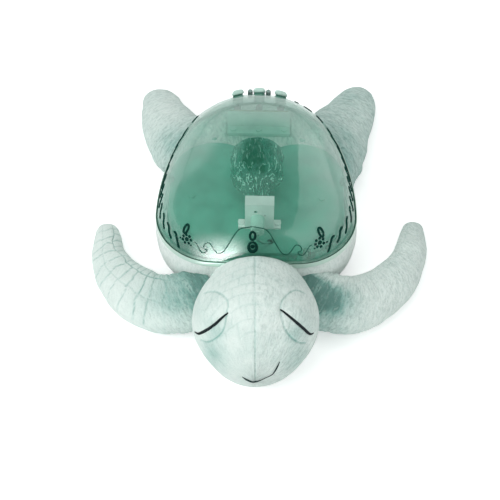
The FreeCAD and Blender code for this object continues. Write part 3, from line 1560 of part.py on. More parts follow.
def pair(label, points, side):
    """Two leads side by side along one route."""
    radius = size("lead_diameter") / 2
    tubes = []
    for hand in (-1, 1):
        shift = side * (hand * radius * 1.15)
        tubes.append(tube([point + shift for point in points], radius))
    return shape_node(label, Part.makeCompound(tubes))


def make_leads():
    """Motor, lamp, speaker and button leads, each from its part to the main board."""
    across = Vector(1, 0, 0)
    motor_y = cover_front - size("motor_length")
    motor = pair("motor_leads", [
        Vector(pinion_x, motor_y, pinion_z - 4), Vector(pinion_x, motor_y - 5, pinion_z - 4),
        Vector(8, motor_y - 4, plateau_top + 5), Vector(*motor_hole, plateau_top),
        Vector(*motor_hole, deck_bottom - 10), Vector(18, -56, deck_bottom - 14),
        Vector(20, -22, deck_bottom - 13), Vector(20, board_front - 6, deck_bottom - 13),
        Vector(20, board_front + 5, board_top + 0.7)], across)
    axis = drum_level
    led = pair("led_leads", [
        Vector(0, led_rear, axis), Vector(0, led_hole[1] + 0.6, axis),
        Vector(0.8, led_hole[1], axis - 16), Vector(0, led_hole[1], deck_bottom + 1),
        Vector(0.8, led_hole[1] - 1, deck_bottom - 8),
        Vector(1, led_hole[1] + 1, board_top + 0.7)], across)
    basket_y = speaker_centre[1] + 17.0
    basket_z = size("tray_floor") + 6.4
    speaker = pair("speaker_leads", [
        Vector(0, basket_y, basket_z), Vector(0, basket_y + 5.4, basket_z + 5.8),
        Vector(0.6, basket_y + 17, basket_z + 8), Vector(0, board_front - 11, board_top),
        Vector(0.6, board_front - 6, board_top + 2.5),
        Vector(0, board_front + 0.4, board_top + 2.5)], across)
    start = button_frame(0.0, 0.0, pod_back_out - 0.05).Base
    turn = button_frame(0.0, 0.0, pod_back_out - 3.5).Base
    control = pair("control_leads", [
        start, turn, Vector(0.8, pod_hole[1], deck_top + 6), Vector(0, pod_hole[1], deck_bottom - 2),
        Vector(0.8, pod_hole[1] - 5, deck_bottom - 9),
        Vector(0, button_socket_y, board_top + socket_rise + 0.5)], across)
    return [motor, led, speaker, control]


def build_all():
    """Every sub-part in order, as the list of nodes to write."""
    plush = make_plush_body()
    head = make_plush_head(plush.Shape)
    nodes = [plush, head] + make_limbs(plush.Shape, head.Shape)
    nodes += [make_shell_ring(), make_shell_dome(), make_dome_screws(), make_base_tray()]
    nodes += [make_upper_deck(), make_plush_lining(), make_deck_screws()]
    nodes += make_cells() + [make_battery_contacts(), make_battery_door(), make_door_screw()]
    nodes += [make_hinge_pin()] + make_speaker() + make_main_board()
    nodes += [make_control_pod()] + make_control_board() + make_buttons()
    nodes += make_indicator_lenses() + [make_wave_drum()] + make_gears() + make_gearbox()
    nodes += [make_motor(), make_drum_bracket()] + make_lamp()
    pod_screws = []
    for count, point in enumerate(ledge_screws):
        pod_screws.append(screw(f"pod_screw_{count}", point, deck_top + size("ledge_rise"), False, 7.0))
    nodes.append(group("pod_screws", pod_screws))
    nodes += make_leads()
    return nodes


def write_all(nodes):
    """Check every object and sub-part, then write one file for each sub-part."""
    doc.recompute()
    for item in doc.Objects:
        if "Invalid" in item.State or "Error" in item.State:
            raise RuntimeError(f"{item.Name} failed: {item.State}")
    for node in nodes:
        if node.Shape.isNull() or not node.Shape.isValid() or not node.Shape.Solids:
            raise RuntimeError(f"{node.Label} has no valid solid")
    os.makedirs("parts", exist_ok=True)
    for node in nodes:
        node.Shape.exportStep(os.path.join("parts", f"{node.Label}.step"))
        print(node.Label, len(node.Shape.Solids), round(node.Shape.Volume, 1))


write_all(build_all())
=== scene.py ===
import json
import logging
import math
from dataclasses import dataclass
from enum import Enum
from typing import Any, Callable, Optional, Sequence, Union

import bmesh
import bpy
import numpy as np
from mathutils import Matrix, Vector
from mathutils.bvhtree import BVHTree


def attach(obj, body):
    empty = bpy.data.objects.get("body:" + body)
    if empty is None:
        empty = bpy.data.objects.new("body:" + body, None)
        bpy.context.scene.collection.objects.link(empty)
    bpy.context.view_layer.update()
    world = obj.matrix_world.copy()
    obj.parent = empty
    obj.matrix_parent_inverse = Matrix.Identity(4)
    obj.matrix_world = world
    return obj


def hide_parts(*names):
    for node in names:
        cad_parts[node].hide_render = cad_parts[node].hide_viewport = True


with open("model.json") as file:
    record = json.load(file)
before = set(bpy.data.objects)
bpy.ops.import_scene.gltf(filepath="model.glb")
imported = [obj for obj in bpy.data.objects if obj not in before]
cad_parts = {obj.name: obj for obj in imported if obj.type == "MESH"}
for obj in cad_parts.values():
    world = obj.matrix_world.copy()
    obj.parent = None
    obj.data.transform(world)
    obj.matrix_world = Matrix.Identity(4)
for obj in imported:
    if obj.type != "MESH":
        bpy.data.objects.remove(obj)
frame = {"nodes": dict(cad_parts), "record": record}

logging.basicConfig(level=logging.INFO, format="%(message)s")
LOG = logging.getLogger("turtle_light")

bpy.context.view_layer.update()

# Metres in a millimetre, and how near in metres a mesh's points are joined
MM = 0.001
MERGE = 2e-6

# Body that everything fixed rides with, and the camera's place in millimetres
ROOT = "turtle"
EYE = (12.3, -723.0, 887.6)

Array = np.ndarray
Triple = tuple[float, float, float]
Colour = Triple
Line = tuple[Triple, ...]


# Shader maths


class Wire:
    """One output socket of a shader, with the arithmetic that a pattern needs."""

    def __init__(self, graph: "Graph", socket: bpy.types.NodeSocket) -> None:
        """Keep the graph that owns the socket beside it."""
        self.graph = graph
        self.socket = socket

    def _math(self, operation: str, *values: "Value") -> "Wire":
        """Add one Math node that works on the given values."""
        return self.graph.node("ShaderNodeMath", {"operation": operation}, dict(enumerate(values)))

    def __add__(self, other: "Value") -> "Wire":
        """Sum."""
        return self._math("ADD", self, other)

    def __sub__(self, other: "Value") -> "Wire":
        """Difference."""
        return self._math("SUBTRACT", self, other)

    def __rsub__(self, other: "Value") -> "Wire":
        """Difference from a number on the left."""
        return self._math("SUBTRACT", other, self)

    def __mul__(self, other: "Value") -> "Wire":
        """Product."""
        return self._math("MULTIPLY", self, other)

    def __truediv__(self, other: "Value") -> "Wire":
        """Quotient."""
        return self._math("DIVIDE", self, other)

    def __pow__(self, other: "Value") -> "Wire":
        """Power."""
        return self._math("POWER", self, other)

    __radd__ = __add__
    __rmul__ = __mul__

    def sine(self) -> "Wire":
        """Sine of an angle in radians."""
        return self._math("SINE", self)

    def clamp(self) -> "Wire":
        """Limit to the range from nought to one."""
        return self._math("MINIMUM", self._math("MAXIMUM", self, 0.0), 1.0)

    def ramp(self, low: float, high: float) -> "Wire":
        """Nought below low, one above high and a smooth step between."""
        return self.graph.node(
            "ShaderNodeMapRange",
            {"interpolation_type": "SMOOTHSTEP"},
            {"Value": self, "From Min": low, "From Max": high},
        )


Value = Union[Wire, float, int, tuple]


class Graph:
    """Node tree of one material or world, with a single method that adds any node."""

    def __init__(self, name: str, kind: str = "materials") -> None:
        """Start an empty tree under a new data block of the given name and kind."""
        self.owner = getattr(bpy.data, kind).new(name)
        self.owner.use_nodes = True
        self.tree = self.owner.node_tree
        self.tree.nodes.clear()

    def node(
        self,
        kind: str,
        settings: Optional[dict[str, Any]] = None,
        inputs: Optional[dict[Union[str, int], Value]] = None,
        output: Union[str, int] = 0,
    ) -> Wire:
        """Add a node, set it up first and then feed its sockets.

        Args:
            kind: the node's type.
            settings: properties of the node, and "stops" for a ramp's colours.
            inputs: socket name or index to a number, a colour or a wire.
            output: the output to hand back.

        Returns:
            The chosen output as a wire.
        """
        made = self.tree.nodes.new(kind)
        for key, value in (settings or {}).items():
            if key == "stops":
                self._set_stops(made.color_ramp, value)
            else:
                setattr(made, key, value)
        for key, value in (inputs or {}).items():
            socket = self._input(made, key)
            if isinstance(value, Wire):
                self.tree.links.new(value.socket, socket)
            elif isinstance(value, tuple) and len(value) == 3 and socket.type == "RGBA":
                socket.default_value = (*value, 1.0)
            else:
                socket.default_value = value
        return Wire(self, made.outputs[output] if len(made.outputs) else made.inputs[0])

    @staticmethod
    def _input(made: bpy.types.Node, key: Union[str, int]) -> bpy.types.NodeSocket:
        """Find an enabled input by name or an input by its place.

        Args:
            made: node that has the input.
            key: name or index.

        Returns:
            The enabled input of that name, or the one at that index.
        """
        if isinstance(key, int):
            return made.inputs[key]
        named = [s for s in made.inputs if s.name == key and s.enabled]
        return named[0] if named else made.inputs[key]

    @staticmethod
    def _set_stops(ramp: bpy.types.ColorRamp, stops: Sequence[tuple[float, Colour]]) -> None:
        """Give a colour ramp its stops, as pairs of position and colour.

        Args:
            ramp: the colour ramp.
            stops: position and colour of each stop.
        """
        while len(ramp.elements) < len(stops):
            ramp.elements.new(1.0)
        for element, (position, colour) in zip(ramp.elements, stops):
            element.position = position
            element.color = (*colour, 1.0)

    def place(self) -> Wire:
        """Position on the object, in metres."""
        return self.node("ShaderNodeTexCoord", output="Object")

    def stretched(self, turn: Triple, scale: Triple) -> Wire:
        """Position turned and stretched, for combed or brushed patterns."""
        inputs = {"Vector": self.place(), "Rotation": turn, "Scale": scale}
        return self.node("ShaderNodeMapping", None, inputs)

    def vector(self, operation: str, *values: Value, output: Union[str, int] = 0) -> Wire:
        """Add one Vector Math node that works on the given values."""
        inputs = dict(enumerate(values))
        return self.node("ShaderNodeVectorMath", {"operation": operation}, inputs, output)

    def noise(self, scale: float, detail: float = 2.0, rough: float = 0.5,
              vector: Optional[Wire] = None) -> Wire:
        """Cloudy noise; scale counts features per metre."""
        place = vector or self.place()
        inputs = {"Vector": place, "Scale": scale, "Detail": detail, "Roughness": rough}
        return self.node("ShaderNodeTexNoise", None, inputs)

    def cells(self, scale: float) -> Wire:
        """Distance to the nearest of many scattered points."""
        return self.node("ShaderNodeTexVoronoi", None, {"Vector": self.place(), "Scale": scale})

    def attribute(self, name: str) -> Wire:
        """A number that the mesh carries at each vertex."""
        return self.node("ShaderNodeAttribute", {"attribute_name": name}, None, "Fac")

    def mix(self, share: Value, first: Value, second: Value) -> Wire:
        """Blend of two colours."""
        inputs = {"Factor": share, "A": first, "B": second}
        return self.node("ShaderNodeMix", {"data_type": "RGBA"}, inputs, 2)

    def bump(self, height: Wire, depth: float, strength: float = 1.0) -> Wire:
        """Surface tilt from a height, whose full range is depth metres."""
        inputs = {"Height": height, "Distance": depth, "Strength": strength}
        return self.node("ShaderNodeBump", None, inputs)

    def surface(self, **sockets: Value) -> Wire:
        """Principled shader; names are written with underscores for spaces."""
        inputs = {key.replace("_", " "): value for key, value in sockets.items()}
        return self.node("ShaderNodeBsdfPrincipled", None, inputs)

    def finish(self, shader: Wire, kind: str = "Material") -> bpy.types.ID:
        """Send a shader to the output, and hand back what the tree belongs to."""
        self.node(f"ShaderNodeOutput{kind}", None, {"Surface": shader})
        return self.owner

    def film(self, tint: Colour, share: Wire, body: Wire) -> bpy.types.ID:
        """Finish as a clear film, into which a body is mixed by its share.

        Args:
            tint: colour of the clear film.
            share: how much of the body shows, from nought to one.
            body: shader of the body.

        Returns:
            The material.
        """
        clear = self.node("ShaderNodeBsdfTransparent", None, {"Color": tint})
        return self.finish(self.node("ShaderNodeMixShader", None, {0: share, 1: clear, 2: body}))


# Finishes


@dataclass(frozen=True)
class Pile:
    """Short combed pile fabric with an airbrushed second colour.

    The mesh says how much of the second colour a place gets ("airbrush"), how strongly its
    strands show ("nap"), and where it is across and along the strands ("comb").
    """

    name: str
    pale: Colour
    shade: Colour
    root: Colour
    fine: float = 640.0
    depth: float = 0.0015
    streak: float = 0.5
    sway: float = 0.0045

    def make(self) -> bpy.types.Material:
        """Build the material: combed strands, curls and blotches over two colours, with painted
        shade in the gaps between strands and a painted sheen on their crests.
        """
        g = Graph(self.name)
        comb = g.node("ShaderNodeAttribute", {"attribute_name": "comb"}, None, "Vector")
        drift = g.node("ShaderNodeTexNoise", None, {"Vector": g.place(), "Scale": 130.0}, "Color")
        swept = g.vector("MULTIPLY_ADD", drift, (self.sway,) * 3, comb)
        lanes = g.node("ShaderNodeMapping", None, {"Vector": swept, "Scale": (1.0, 0.3, 1.0)})
        strands = g.noise(self.fine, 3.0, 0.66, lanes)
        curls = g.noise(self.fine * 1.5, 2.0, 0.6)
        clumps = g.noise(210.0, 2.0, 0.5, lanes)
        tufts = g.noise(190.0, 3.0, 0.6)
        blotch = g.noise(60.0, 3.0, 0.65)
        nap = g.attribute("nap")
        airbrush = (g.attribute("airbrush") * (0.6 + 0.8 * blotch)).clamp()
        parted = (strands - 0.5) * 1.3 + (clumps - 0.5) * 1.5
        broken = (airbrush + parted * (airbrush + 0.05) * nap).clamp()
        sprayed = g.mix((broken / 0.7).clamp(), self.pale, self.shade)
        body = g.mix(broken.ramp(0.66, 1.0), sprayed, self.root)
        # Painted shade: the gaps between strands darken towards the root colour.
        gap_shade = (0.55 - strands).ramp(0.0, 0.22) * nap + (0.46 - curls).ramp(0.0, 0.2) * 0.5
        dark = gap_shade * (self.streak * 0.5 + airbrush * 0.8)
        coloured = g.mix(dark.clamp(), body, self.root)
        # Painted sheen: the strands' crests turn paler.
        light = (strands.ramp(0.5, 0.7) * nap + curls.ramp(0.5, 0.8) * 0.3) * 0.45
        sheen_tips = tuple(min(1.0, c * 1.06 + 0.03) for c in self.pale)
        tinted = g.mix((light * (1.0 - airbrush * 0.6)).clamp(), coloured, sheen_tips)
        height = strands * nap + clumps * nap * 1.2 + curls * 0.25 + tufts * 0.4
        return g.finish(g.surface(
            Base_Color=tinted,
            Roughness=0.95,
            Specular_IOR_Level=0.08,
            Sheen_Weight=0.12,
            Sheen_Roughness=0.5,
            Sheen_Tint=(0.92, 1.0, 0.97, 1.0),
            Normal=g.bump(height, self.depth, 1.0),
        ))


@dataclass(frozen=True)
class TintedShell:
    """Clear coloured plastic: shows what is behind it and carries a hard gloss."""

    name: str
    tint: Colour
    body: Colour
    opacity: float
    edge: float = 0.6
    rough: float = 0.03
    index: float = 2.6
    mottle: float = 0.25
    wave: float = 0.00004
    swirl: float = 22.0
    veil: float = 0.08
    highlight_level: Optional[float] = None

    def make(self) -> bpy.types.Material:
        """Build the material: a clear film mixed with gloss that gains at glancing angles.

        Above a given height, where it has one, the body turns as pale as the tint: a painted
        highlight on the top.
        """
        g = Graph(self.name)
        facing = g.node("ShaderNodeLayerWeight", None, {"Blend": 0.38}, "Facing")
        cloud = g.noise(self.swirl, 3.0, 0.55)
        flow = g.noise(260.0, 2.0, 0.5)
        share = self.opacity + facing ** 1.2 * self.edge + (cloud - 0.5) * self.veil
        deep = tuple(c * (1.0 - self.mottle) for c in self.body)
        colour = g.mix(cloud.ramp(0.35, 0.6), self.body, deep)
        # Painted highlight: above the given height the body takes the pale tint.
        if self.highlight_level is not None:
            height = g.node("ShaderNodeSeparateXYZ", None, {0: g.place()}, "Z")
            colour = g.mix((height - self.highlight_level).ramp(0.0, 0.0011), colour, self.tint)
        gloss = g.surface(
            Base_Color=colour,
            Roughness=(flow * 0.05 + self.rough).clamp(),
            IOR=self.index,
            Coat_Weight=0.5,
            Coat_Roughness=0.02,
            Normal=g.bump(flow, self.wave, 0.3),
        )
        return g.film(self.tint, share.clamp(), gloss)


@dataclass(frozen=True)
class RippledShell:
    """Clear rippled plastic: streaks drawn along Y, the pale ones painted highlights, a grey-green
    edge and a deep green pool.
    """

    name: str
    tint: Colour
    body: Colour
    pool: Colour
    streak: Colour
    pool_centre: Triple = (-0.003, -0.019, 0.099)
    pool_shape: Triple = (1.0, 0.58, 0.8)
    pool_reach: float = 0.013
    opacity: float = 0.30
    edge: float = 0.40
    index: float = 1.3

    def make(self) -> bpy.types.Material:
        """Build the material: a clear film under thin pale and dark streaks and a dark pool; the
        pale streaks are painted highlights.
        """
        g = Graph(self.name)
        facing = g.node("ShaderNodeLayerWeight", None, {"Blend": 0.42}, "Facing")
        drawn = g.stretched((0.0, 0.0, 0.0), (1.0, 0.24, 1.0))
        wander = g.noise(190.0, 2.0, 0.5, drawn)
        fine = g.noise(420.0, 2.0, 0.5, drawn)
        # Painted highlight: thin pale streaks in the streak colour.
        pale = (0.0009 - (wander - 0.46) ** 2).ramp(0.0, 0.0009) * fine.ramp(0.42, 0.56)
        dark = (0.0012 - (wander - 0.56) ** 2).ramp(0.0, 0.0012) * fine.ramp(0.62, 0.45)
        offset = g.vector("SUBTRACT", g.place(), self.pool_centre)
        oval = g.vector("MULTIPLY", offset, self.pool_shape)
        far = g.vector("LENGTH", oval, output="Value")
        ragged = far + (wander - 0.5) * 0.022 + (fine - 0.5) * 0.008
        pool = (self.pool_reach - ragged).ramp(-0.002, 0.0045)
        share = self.opacity + facing ** 1.4 * self.edge + pale * 0.55 + dark * 0.5
        share = (share + pool * 0.75 + (fine - 0.5) * 0.3).clamp()
        toned = g.mix(pool.clamp(), self.body, self.pool)
        toned = g.mix((dark * 0.6).clamp(), toned, self.pool)
        colour = g.mix((pale * (1.0 - pool * 0.7)).clamp(), toned, self.streak)
        gloss = g.surface(
            Base_Color=colour,
            Roughness=(fine * 0.1 + 0.03).clamp(),
            IOR=self.index,
            Normal=g.bump(wander + fine * 0.3, 0.0005, 0.8),
        )
        return g.film(self.tint, share, gloss)


@dataclass(frozen=True)
class Moulded:
    """Opaque or slightly cloudy moulded plastic."""

    name: str
    colour: Colour
    rough: float = 0.38
    grain: float = 1800.0
    relief: float = 0.00006
    coat: float = 0.0
    mottle: float = 0.08
    gloss: float = 0.5

    def make(self) -> bpy.types.Material:
        """Build the material: fine moulding grain, faint flow clouds and rubbed highs."""
        g = Graph(self.name)
        grain = g.noise(self.grain, 2.0, 0.55)
        flow = g.noise(40.0, 3.0, 0.5)
        dull = tuple(c * (1.0 - 2.2 * self.mottle) for c in self.colour)
        colour = g.mix(flow.ramp(0.35, 0.8) * 0.8, self.colour, dull)
        return g.finish(g.surface(
            Base_Color=colour,
            Roughness=(grain * 0.14 + flow * 0.08 + self.rough - 0.1).clamp(),
            Specular_IOR_Level=self.gloss,
            Coat_Weight=self.coat,
            Coat_Roughness=0.08,
            Normal=g.bump(grain, self.relief, 0.6),
        ))


@dataclass(frozen=True)
class Metal:
    """Drawn or plated metal with fine brushed lines."""

    name: str
    colour: Colour
    rough: float = 0.3
    turn: Triple = (0.0, 0.0, 0.0)

    def make(self) -> bpy.types.Material:
        """Build the material: long scratches along one direction and faint stains."""
        g = Graph(self.name)
        lines = g.noise(900.0, 3.0, 0.6, g.stretched(self.turn, (0.05, 1.0, 1.0)))
        stain = g.noise(120.0, 2.0, 0.5)
        darker = tuple(c * 0.8 for c in self.colour)
        return g.finish(g.surface(
            Base_Color=g.mix(stain.ramp(0.4, 0.75), self.colour, darker),
            Metallic=1.0,
            Roughness=(lines * 0.22 + self.rough - 0.08).clamp(),
            Normal=g.bump(lines, 0.00003, 0.5),
        ))


@dataclass(frozen=True)
class Thread:
    """Satin-stitched embroidery thread; the mesh's "stitch" attribute runs along the row."""

    name: str
    colour: Colour

    def make(self) -> bpy.types.Material:
        """Build the material: a sheen line for every stitch of the row."""
        g = Graph(self.name)
        height = (g.attribute("stitch") * (2.0 * math.pi)).sine() * 0.5 + 0.5
        fibre = g.noise(3000.0, 2.0, 0.5)
        lit = tuple(min(1.0, c * 1.8 + 0.015) for c in self.colour)
        return g.finish(g.surface(
            Base_Color=g.mix(height.ramp(0.35, 1.0) * 0.7, self.colour, lit),
            Roughness=(fibre * 0.2 + 0.6).clamp(),
            Specular_IOR_Level=0.12,
            Normal=g.bump(height + fibre * 0.3, 0.0003, 0.8),
        ))


@dataclass(frozen=True)
class Board:
    """Lacquered circuit board with bright tracks under the lacquer."""

    name: str
    colour: Colour
    track: Colour

    def make(self) -> bpy.types.Material:
        """Build the material: blocky tracks, solder spots and a glossy lacquer."""
        g = Graph(self.name)
        lanes = g.node(
            "ShaderNodeTexBrick",
            {"offset": 0.5, "squash": 1.0},
            {"Vector": g.place(), "Scale": 210.0, "Mortar Size": 0.04, "Color1": (0.0, 0.0, 0.0),
             "Color2": (0.0, 0.0, 0.0), "Mortar": (1.0, 1.0, 1.0)},
        )
        spots = (0.2 - g.cells(330.0)).ramp(0.0, 0.05)
        marks = (lanes * 0.55 + spots).clamp()
        return g.finish(g.surface(
            Base_Color=g.mix(marks, self.colour, self.track),
            Metallic=(spots * 0.6).clamp(),
            Roughness=(0.34 + g.noise(800.0) * 0.1).clamp(),
            Coat_Weight=0.4,
            Normal=g.bump(marks, 0.00005, 0.6),
        ))


@dataclass(frozen=True)
class Sleeve:
    """Insulation of a lead: smooth, slightly dusty rubber."""

    name: str
    colour: Colour

    def make(self) -> bpy.types.Material:
        """Build the material: soft gloss with faint rub marks."""
        g = Graph(self.name)
        rub = g.noise(700.0, 3.0, 0.6)
        pale = tuple(min(1.0, c * 1.25 + 0.03) for c in self.colour)
        return g.finish(g.surface(
            Base_Color=g.mix(rub.ramp(0.45, 0.8), self.colour, pale),
            Roughness=(rub * 0.25 + 0.35).clamp(),
            Normal=g.bump(rub, 0.00003, 0.4),
        ))


MINT: Colour = (0.722, 0.808, 0.772)
TEAL: Colour = (0.27, 0.48, 0.435)
# Deepest airbrush tone; the pile also uses it as the painted shade in the gaps between strands.
DEEP_TEAL: Colour = (0.13, 0.27, 0.24)
# Roughness, grain, relief, coat, mottle and gloss of the printed-looking relief lines; their
# near-black greens are painted shade, for the dark look of clear raised lines that bend the light
RELIEF_LOOK = (0.5, 900.0, 3e-5, 0.0, 0.1, 0.03)


class Finish(Enum):
    """Every finish of the object."""

    PLUSH = Pile("pile_mint", MINT, TEAL, DEEP_TEAL)
    # Paler copy of the mint pile for the torso: painted light that lifts its shade under the dome
    # and on the side away from the key lamp.
    PLUSH_PAINTED_LIGHT = Pile("pile_painted_light", (0.87, 0.92, 0.895), TEAL, DEEP_TEAL)
    LINING = Pile("pile_lining", (0.66, 0.76, 0.71), (0.12, 0.48, 0.35), (0.1, 0.24, 0.19),
                  460.0, 0.0018, 0.8)
    DOME = TintedShell("clear_green_shell", (0.925, 0.985, 0.965), (0.1, 0.38, 0.285), 0.13,
                       swirl=34.0, veil=0.24)
    # Painted shade: the clear raised lines are given near-black greens.
    RELIEF = Moulded("relief_dark_green", (0.004, 0.04, 0.03), *RELIEF_LOOK)
    WAVE_LINE = Moulded("relief_line_green", (0.022, 0.095, 0.07), *RELIEF_LOOK)
    # Its fourth colour is the painted highlight of the pale streaks.
    DRUM = RippledShell("clear_rippled_drum", (0.74, 0.96, 0.89), (0.13, 0.4, 0.31),
                        (0.0, 0.09, 0.04), (0.6, 0.92, 0.82))
    # Painted highlight: the lens's top turns pale above the given height.
    LENS = TintedShell("clear_lens", (0.35, 0.47, 0.44), (0.03, 0.06, 0.05), 0.6, 0.3, 0.1, 1.6,
                       highlight_level=0.0789)
    RING = Moulded("ring_green", (0.6, 0.78, 0.69), 0.32, 1500.0, 4e-5, 0.25)
    # Painted shadow: near-black green for the thin tube in the gap between dome and rim.
    SEAM_SHADOW = Moulded("rim_seam_shadow", (0.025, 0.075, 0.055), 0.7, 1500.0, 4e-5, 0.0, 0.08, 0.1)
    COVER = Moulded("cover_green", (0.56, 0.84, 0.73), 0.35, 1500.0, 4e-5, 0.2)
    TRAY = Moulded("tray_white", (0.78, 0.82, 0.79), 0.5, 1300.0, 9e-5)
    DECK = Moulded("deck_green", (0.165, 0.505, 0.39), 0.2, 500.0, 5e-5, 0.5, 0.14)
    BUTTON = Moulded("button_green", (0.54, 0.75, 0.67), 0.4, 1400.0, 6e-5, 0.15, 0.2)
    # Painted shadow: the dark green of the button's skirt stands for the shadow gap round the cap.
    BUTTON_SHADOW_SIDE = Moulded("button_shadow_green", (0.06, 0.19, 0.14), 0.6)
    POD = Moulded("pod_green", (0.47, 0.74, 0.64), 0.4, 1200.0, 6e-5, 0.0, 0.14)
    CASE = Moulded("case_white", (0.95, 0.97, 0.95), 0.3, 1500.0, 6e-5, 0.6, 0.03)
    GEAR = Moulded("gear_white", (0.86, 0.87, 0.82), 0.35, 2400.0, 3e-5)
    BLACK = Moulded("chip_black", (0.018, 0.019, 0.02), 0.45, 2600.0, 3e-5)
    CONE = Moulded("cone_black", (0.022, 0.022, 0.024), 0.7, 1600.0, 0.0001)
    LAMP = Moulded("lamp_clear", (0.42, 0.66, 0.57), 0.12, 800.0, 2e-5, 0.5)
    STEEL = Metal("zinc_steel", (0.62, 0.63, 0.64), 0.3)
    CONTACT = Metal("bright_contact", (0.76, 0.77, 0.78), 0.2)
    MAGNET = Metal("magnet_grey", (0.22, 0.22, 0.23), 0.42)
    CELL = Metal("cell_sleeve", (0.16, 0.2, 0.26), 0.34, (0.0, 0.0, 1.57))
    THREAD = Thread("eyelid_thread", (0.006, 0.012, 0.014))
    MOUTH_THREAD = Thread("mouth_thread", (0.01, 0.028, 0.027))
    BOARD = Board("board_green_lacquer", (0.012, 0.1, 0.04), (0.3, 0.42, 0.16))
    WIRES = Sleeve("lead_sleeve", (0.1, 0.32, 0.25))


class Palette:
    """Makes each finish once and hands the material out."""

    def __init__(self) -> None:
        """Start with nothing made."""
        self._made: dict[Finish, bpy.types.Material] = {}

    def get(self, finish: Finish) -> bpy.types.Material:
        """Material of a finish."""
        if finish not in self._made:
            self._made[finish] = finish.value.make()
        return self._made[finish]

    def dress(self, piece: bpy.types.Object, finish: Finish) -> None:
        """Put one finish on a whole piece."""
        piece.data.materials.clear()
        piece.data.materials.append(self.get(finish))


PALETTE = Palette()


# Geometry helpers; lengths are in millimetres until a piece is made

# Least length that a vector is divided by
TINY = 1e-9


class Cloud:
    """Seeded smooth noise in space, worked out for whole arrays of points."""

    def __init__(self, seed: int, side: int = 24) -> None:
        """Draw the random lattice."""
        self.side = side
        self.lattice = np.random.default_rng(seed).random((side, side, side)) * 2.0 - 1.0

    def at(self, points: Array, wavelength: float) -> Array:
        """Blend the lattice's eight corner values round each point with smooth weights.

        Args:
            points: positions, one per row.
            wavelength: distance between lattice points.

        Returns:
            One value from -1 to 1 for each point.
        """
        scaled = points / wavelength
        corner = np.floor(scaled).astype(int)
        part = scaled - corner
        smooth = part * part * (3.0 - 2.0 * part)
        total = np.zeros(len(points))
        for step in np.ndindex(2, 2, 2):
            cell = (corner + step) % self.side
            across, along, up = np.abs(1 - np.array(step) - smooth).T
            total += self.lattice[tuple(cell.T)] * (across * along) * up
        return total

    def layered(self, points: Array, wavelength: float, layers: int = 3) -> Array:
        """Sum of octaves, each half as long and half as high as the one before.

        Args:
            points: positions, one per row.
            wavelength: of the longest octave.
            layers: how many octaves.

        Returns:
            One value for each point.
        """
        total = np.zeros(len(points))
        for layer in range(layers):
            total += self.at(points + 7.3 * layer, wavelength / 2**layer) / 2**layer
        return total


def smooth_step(values: Array, low: float, high: float) -> Array:
    """Nought below low, one above high, and a cubic ease between."""
    share = np.clip((values - low) / (high - low), 0.0, 1.0)
    return share * share * (3.0 - 2.0 * share)


def bell(distance: Array, width: float) -> Array:
    """Bell curve: one at no distance, about a third at the given width."""
    return np.exp(-((distance / width) ** 2))


def spot(points: Array, centre: Sequence[float], spread: Sequence[float]) -> Array:
    """Bell curve in space about a centre, with its own width along each axis."""
    return bell(np.linalg.norm((points - centre) / spread, axis=-1), 1.0)


def eased(stations: Array, rows: Array) -> Array:
    """Smooth curve through rows of values: cubic Hermite with centred slopes.

    Args:
        stations: where to read, from 0 to the number of rows minus one.
        rows: one row of values for each whole station.

    Returns:
        One row of values for each station asked for.
    """
    rows = np.asarray(rows, float)
    padded = np.vstack([2 * rows[0] - rows[1], rows, 2 * rows[-1] - rows[-2]])
    left = np.clip(np.floor(stations).astype(int), 0, len(rows) - 2)
    t = (np.asarray(stations) - left)[:, None]
    before, start, end, after = (padded[left + k] for k in range(4))
    slope_in = (end - before) / 2
    slope_out = (after - start) / 2
    return (
        (2 * t**3 - 3 * t**2 + 1) * start
        + (t**3 - 2 * t**2 + t) * slope_in
        + (3 * t**2 - 2 * t**3) * end
        + (t**3 - t**2) * slope_out
    )


def dense_path(rows: Array, step: float, measured: int = 3) -> Array:
    """Smooth curve through rows, read at equal steps of length.

    Args:
        rows: control rows.
        step: wanted step.
        measured: how many leading columns count for the length.

    Returns:
        The rows along the curve.
    """
    rows = np.asarray(rows, float)
    fine = eased(np.linspace(0, len(rows) - 1, 60 * len(rows)), rows)
    pieces = np.linalg.norm(np.diff(fine[:, :measured], axis=0), axis=1)
    lengths = np.concatenate([[0.0], np.cumsum(pieces)])
    wanted = np.linspace(0, lengths[-1], max(3, int(lengths[-1] / step) + 1))
    columns = [np.interp(wanted, lengths, fine[:, k]) for k in range(fine.shape[1])]
    return np.stack(columns, axis=1)


def path_distance(points: Array, path: Array) -> Array:
    """Distance from each point to a dense path: the least of those to the path's points.

    Args:
        points: positions, one per row.
        path: dense points of the path.

    Returns:
        One distance for each position.
    """
    best = np.full(len(points), np.inf)
    for place in path:
        best = np.minimum(best, np.linalg.norm(points - place, axis=1))
    return best


def sheet(first: Array, second: Array) -> Array:
    """Points of a level sheet at height nought, from two arrays that broadcast to its grid."""
    first, second = np.broadcast_arrays(first, second)
    return np.stack([first, second, np.zeros(first.shape)], axis=-1)


def grid_faces(rows: int, columns: int, closed: bool) -> Array:
    """Quads of a grid whose points are stored row by row.

    Args:
        rows: points down the grid.
        columns: points across it.
        closed: join the last column to the first.

    Returns:
        Four point numbers for each face.
    """
    row = np.arange(rows - 1)[:, None]
    column = np.arange(columns if closed else columns - 1)[None, :]
    following = (column + 1) % columns
    corners = [
        row * columns + column,
        row * columns + following,
        (row + 1) * columns + following,
        (row + 1) * columns + column,
    ]
    return np.stack([corner.reshape(-1) for corner in corners], axis=1)


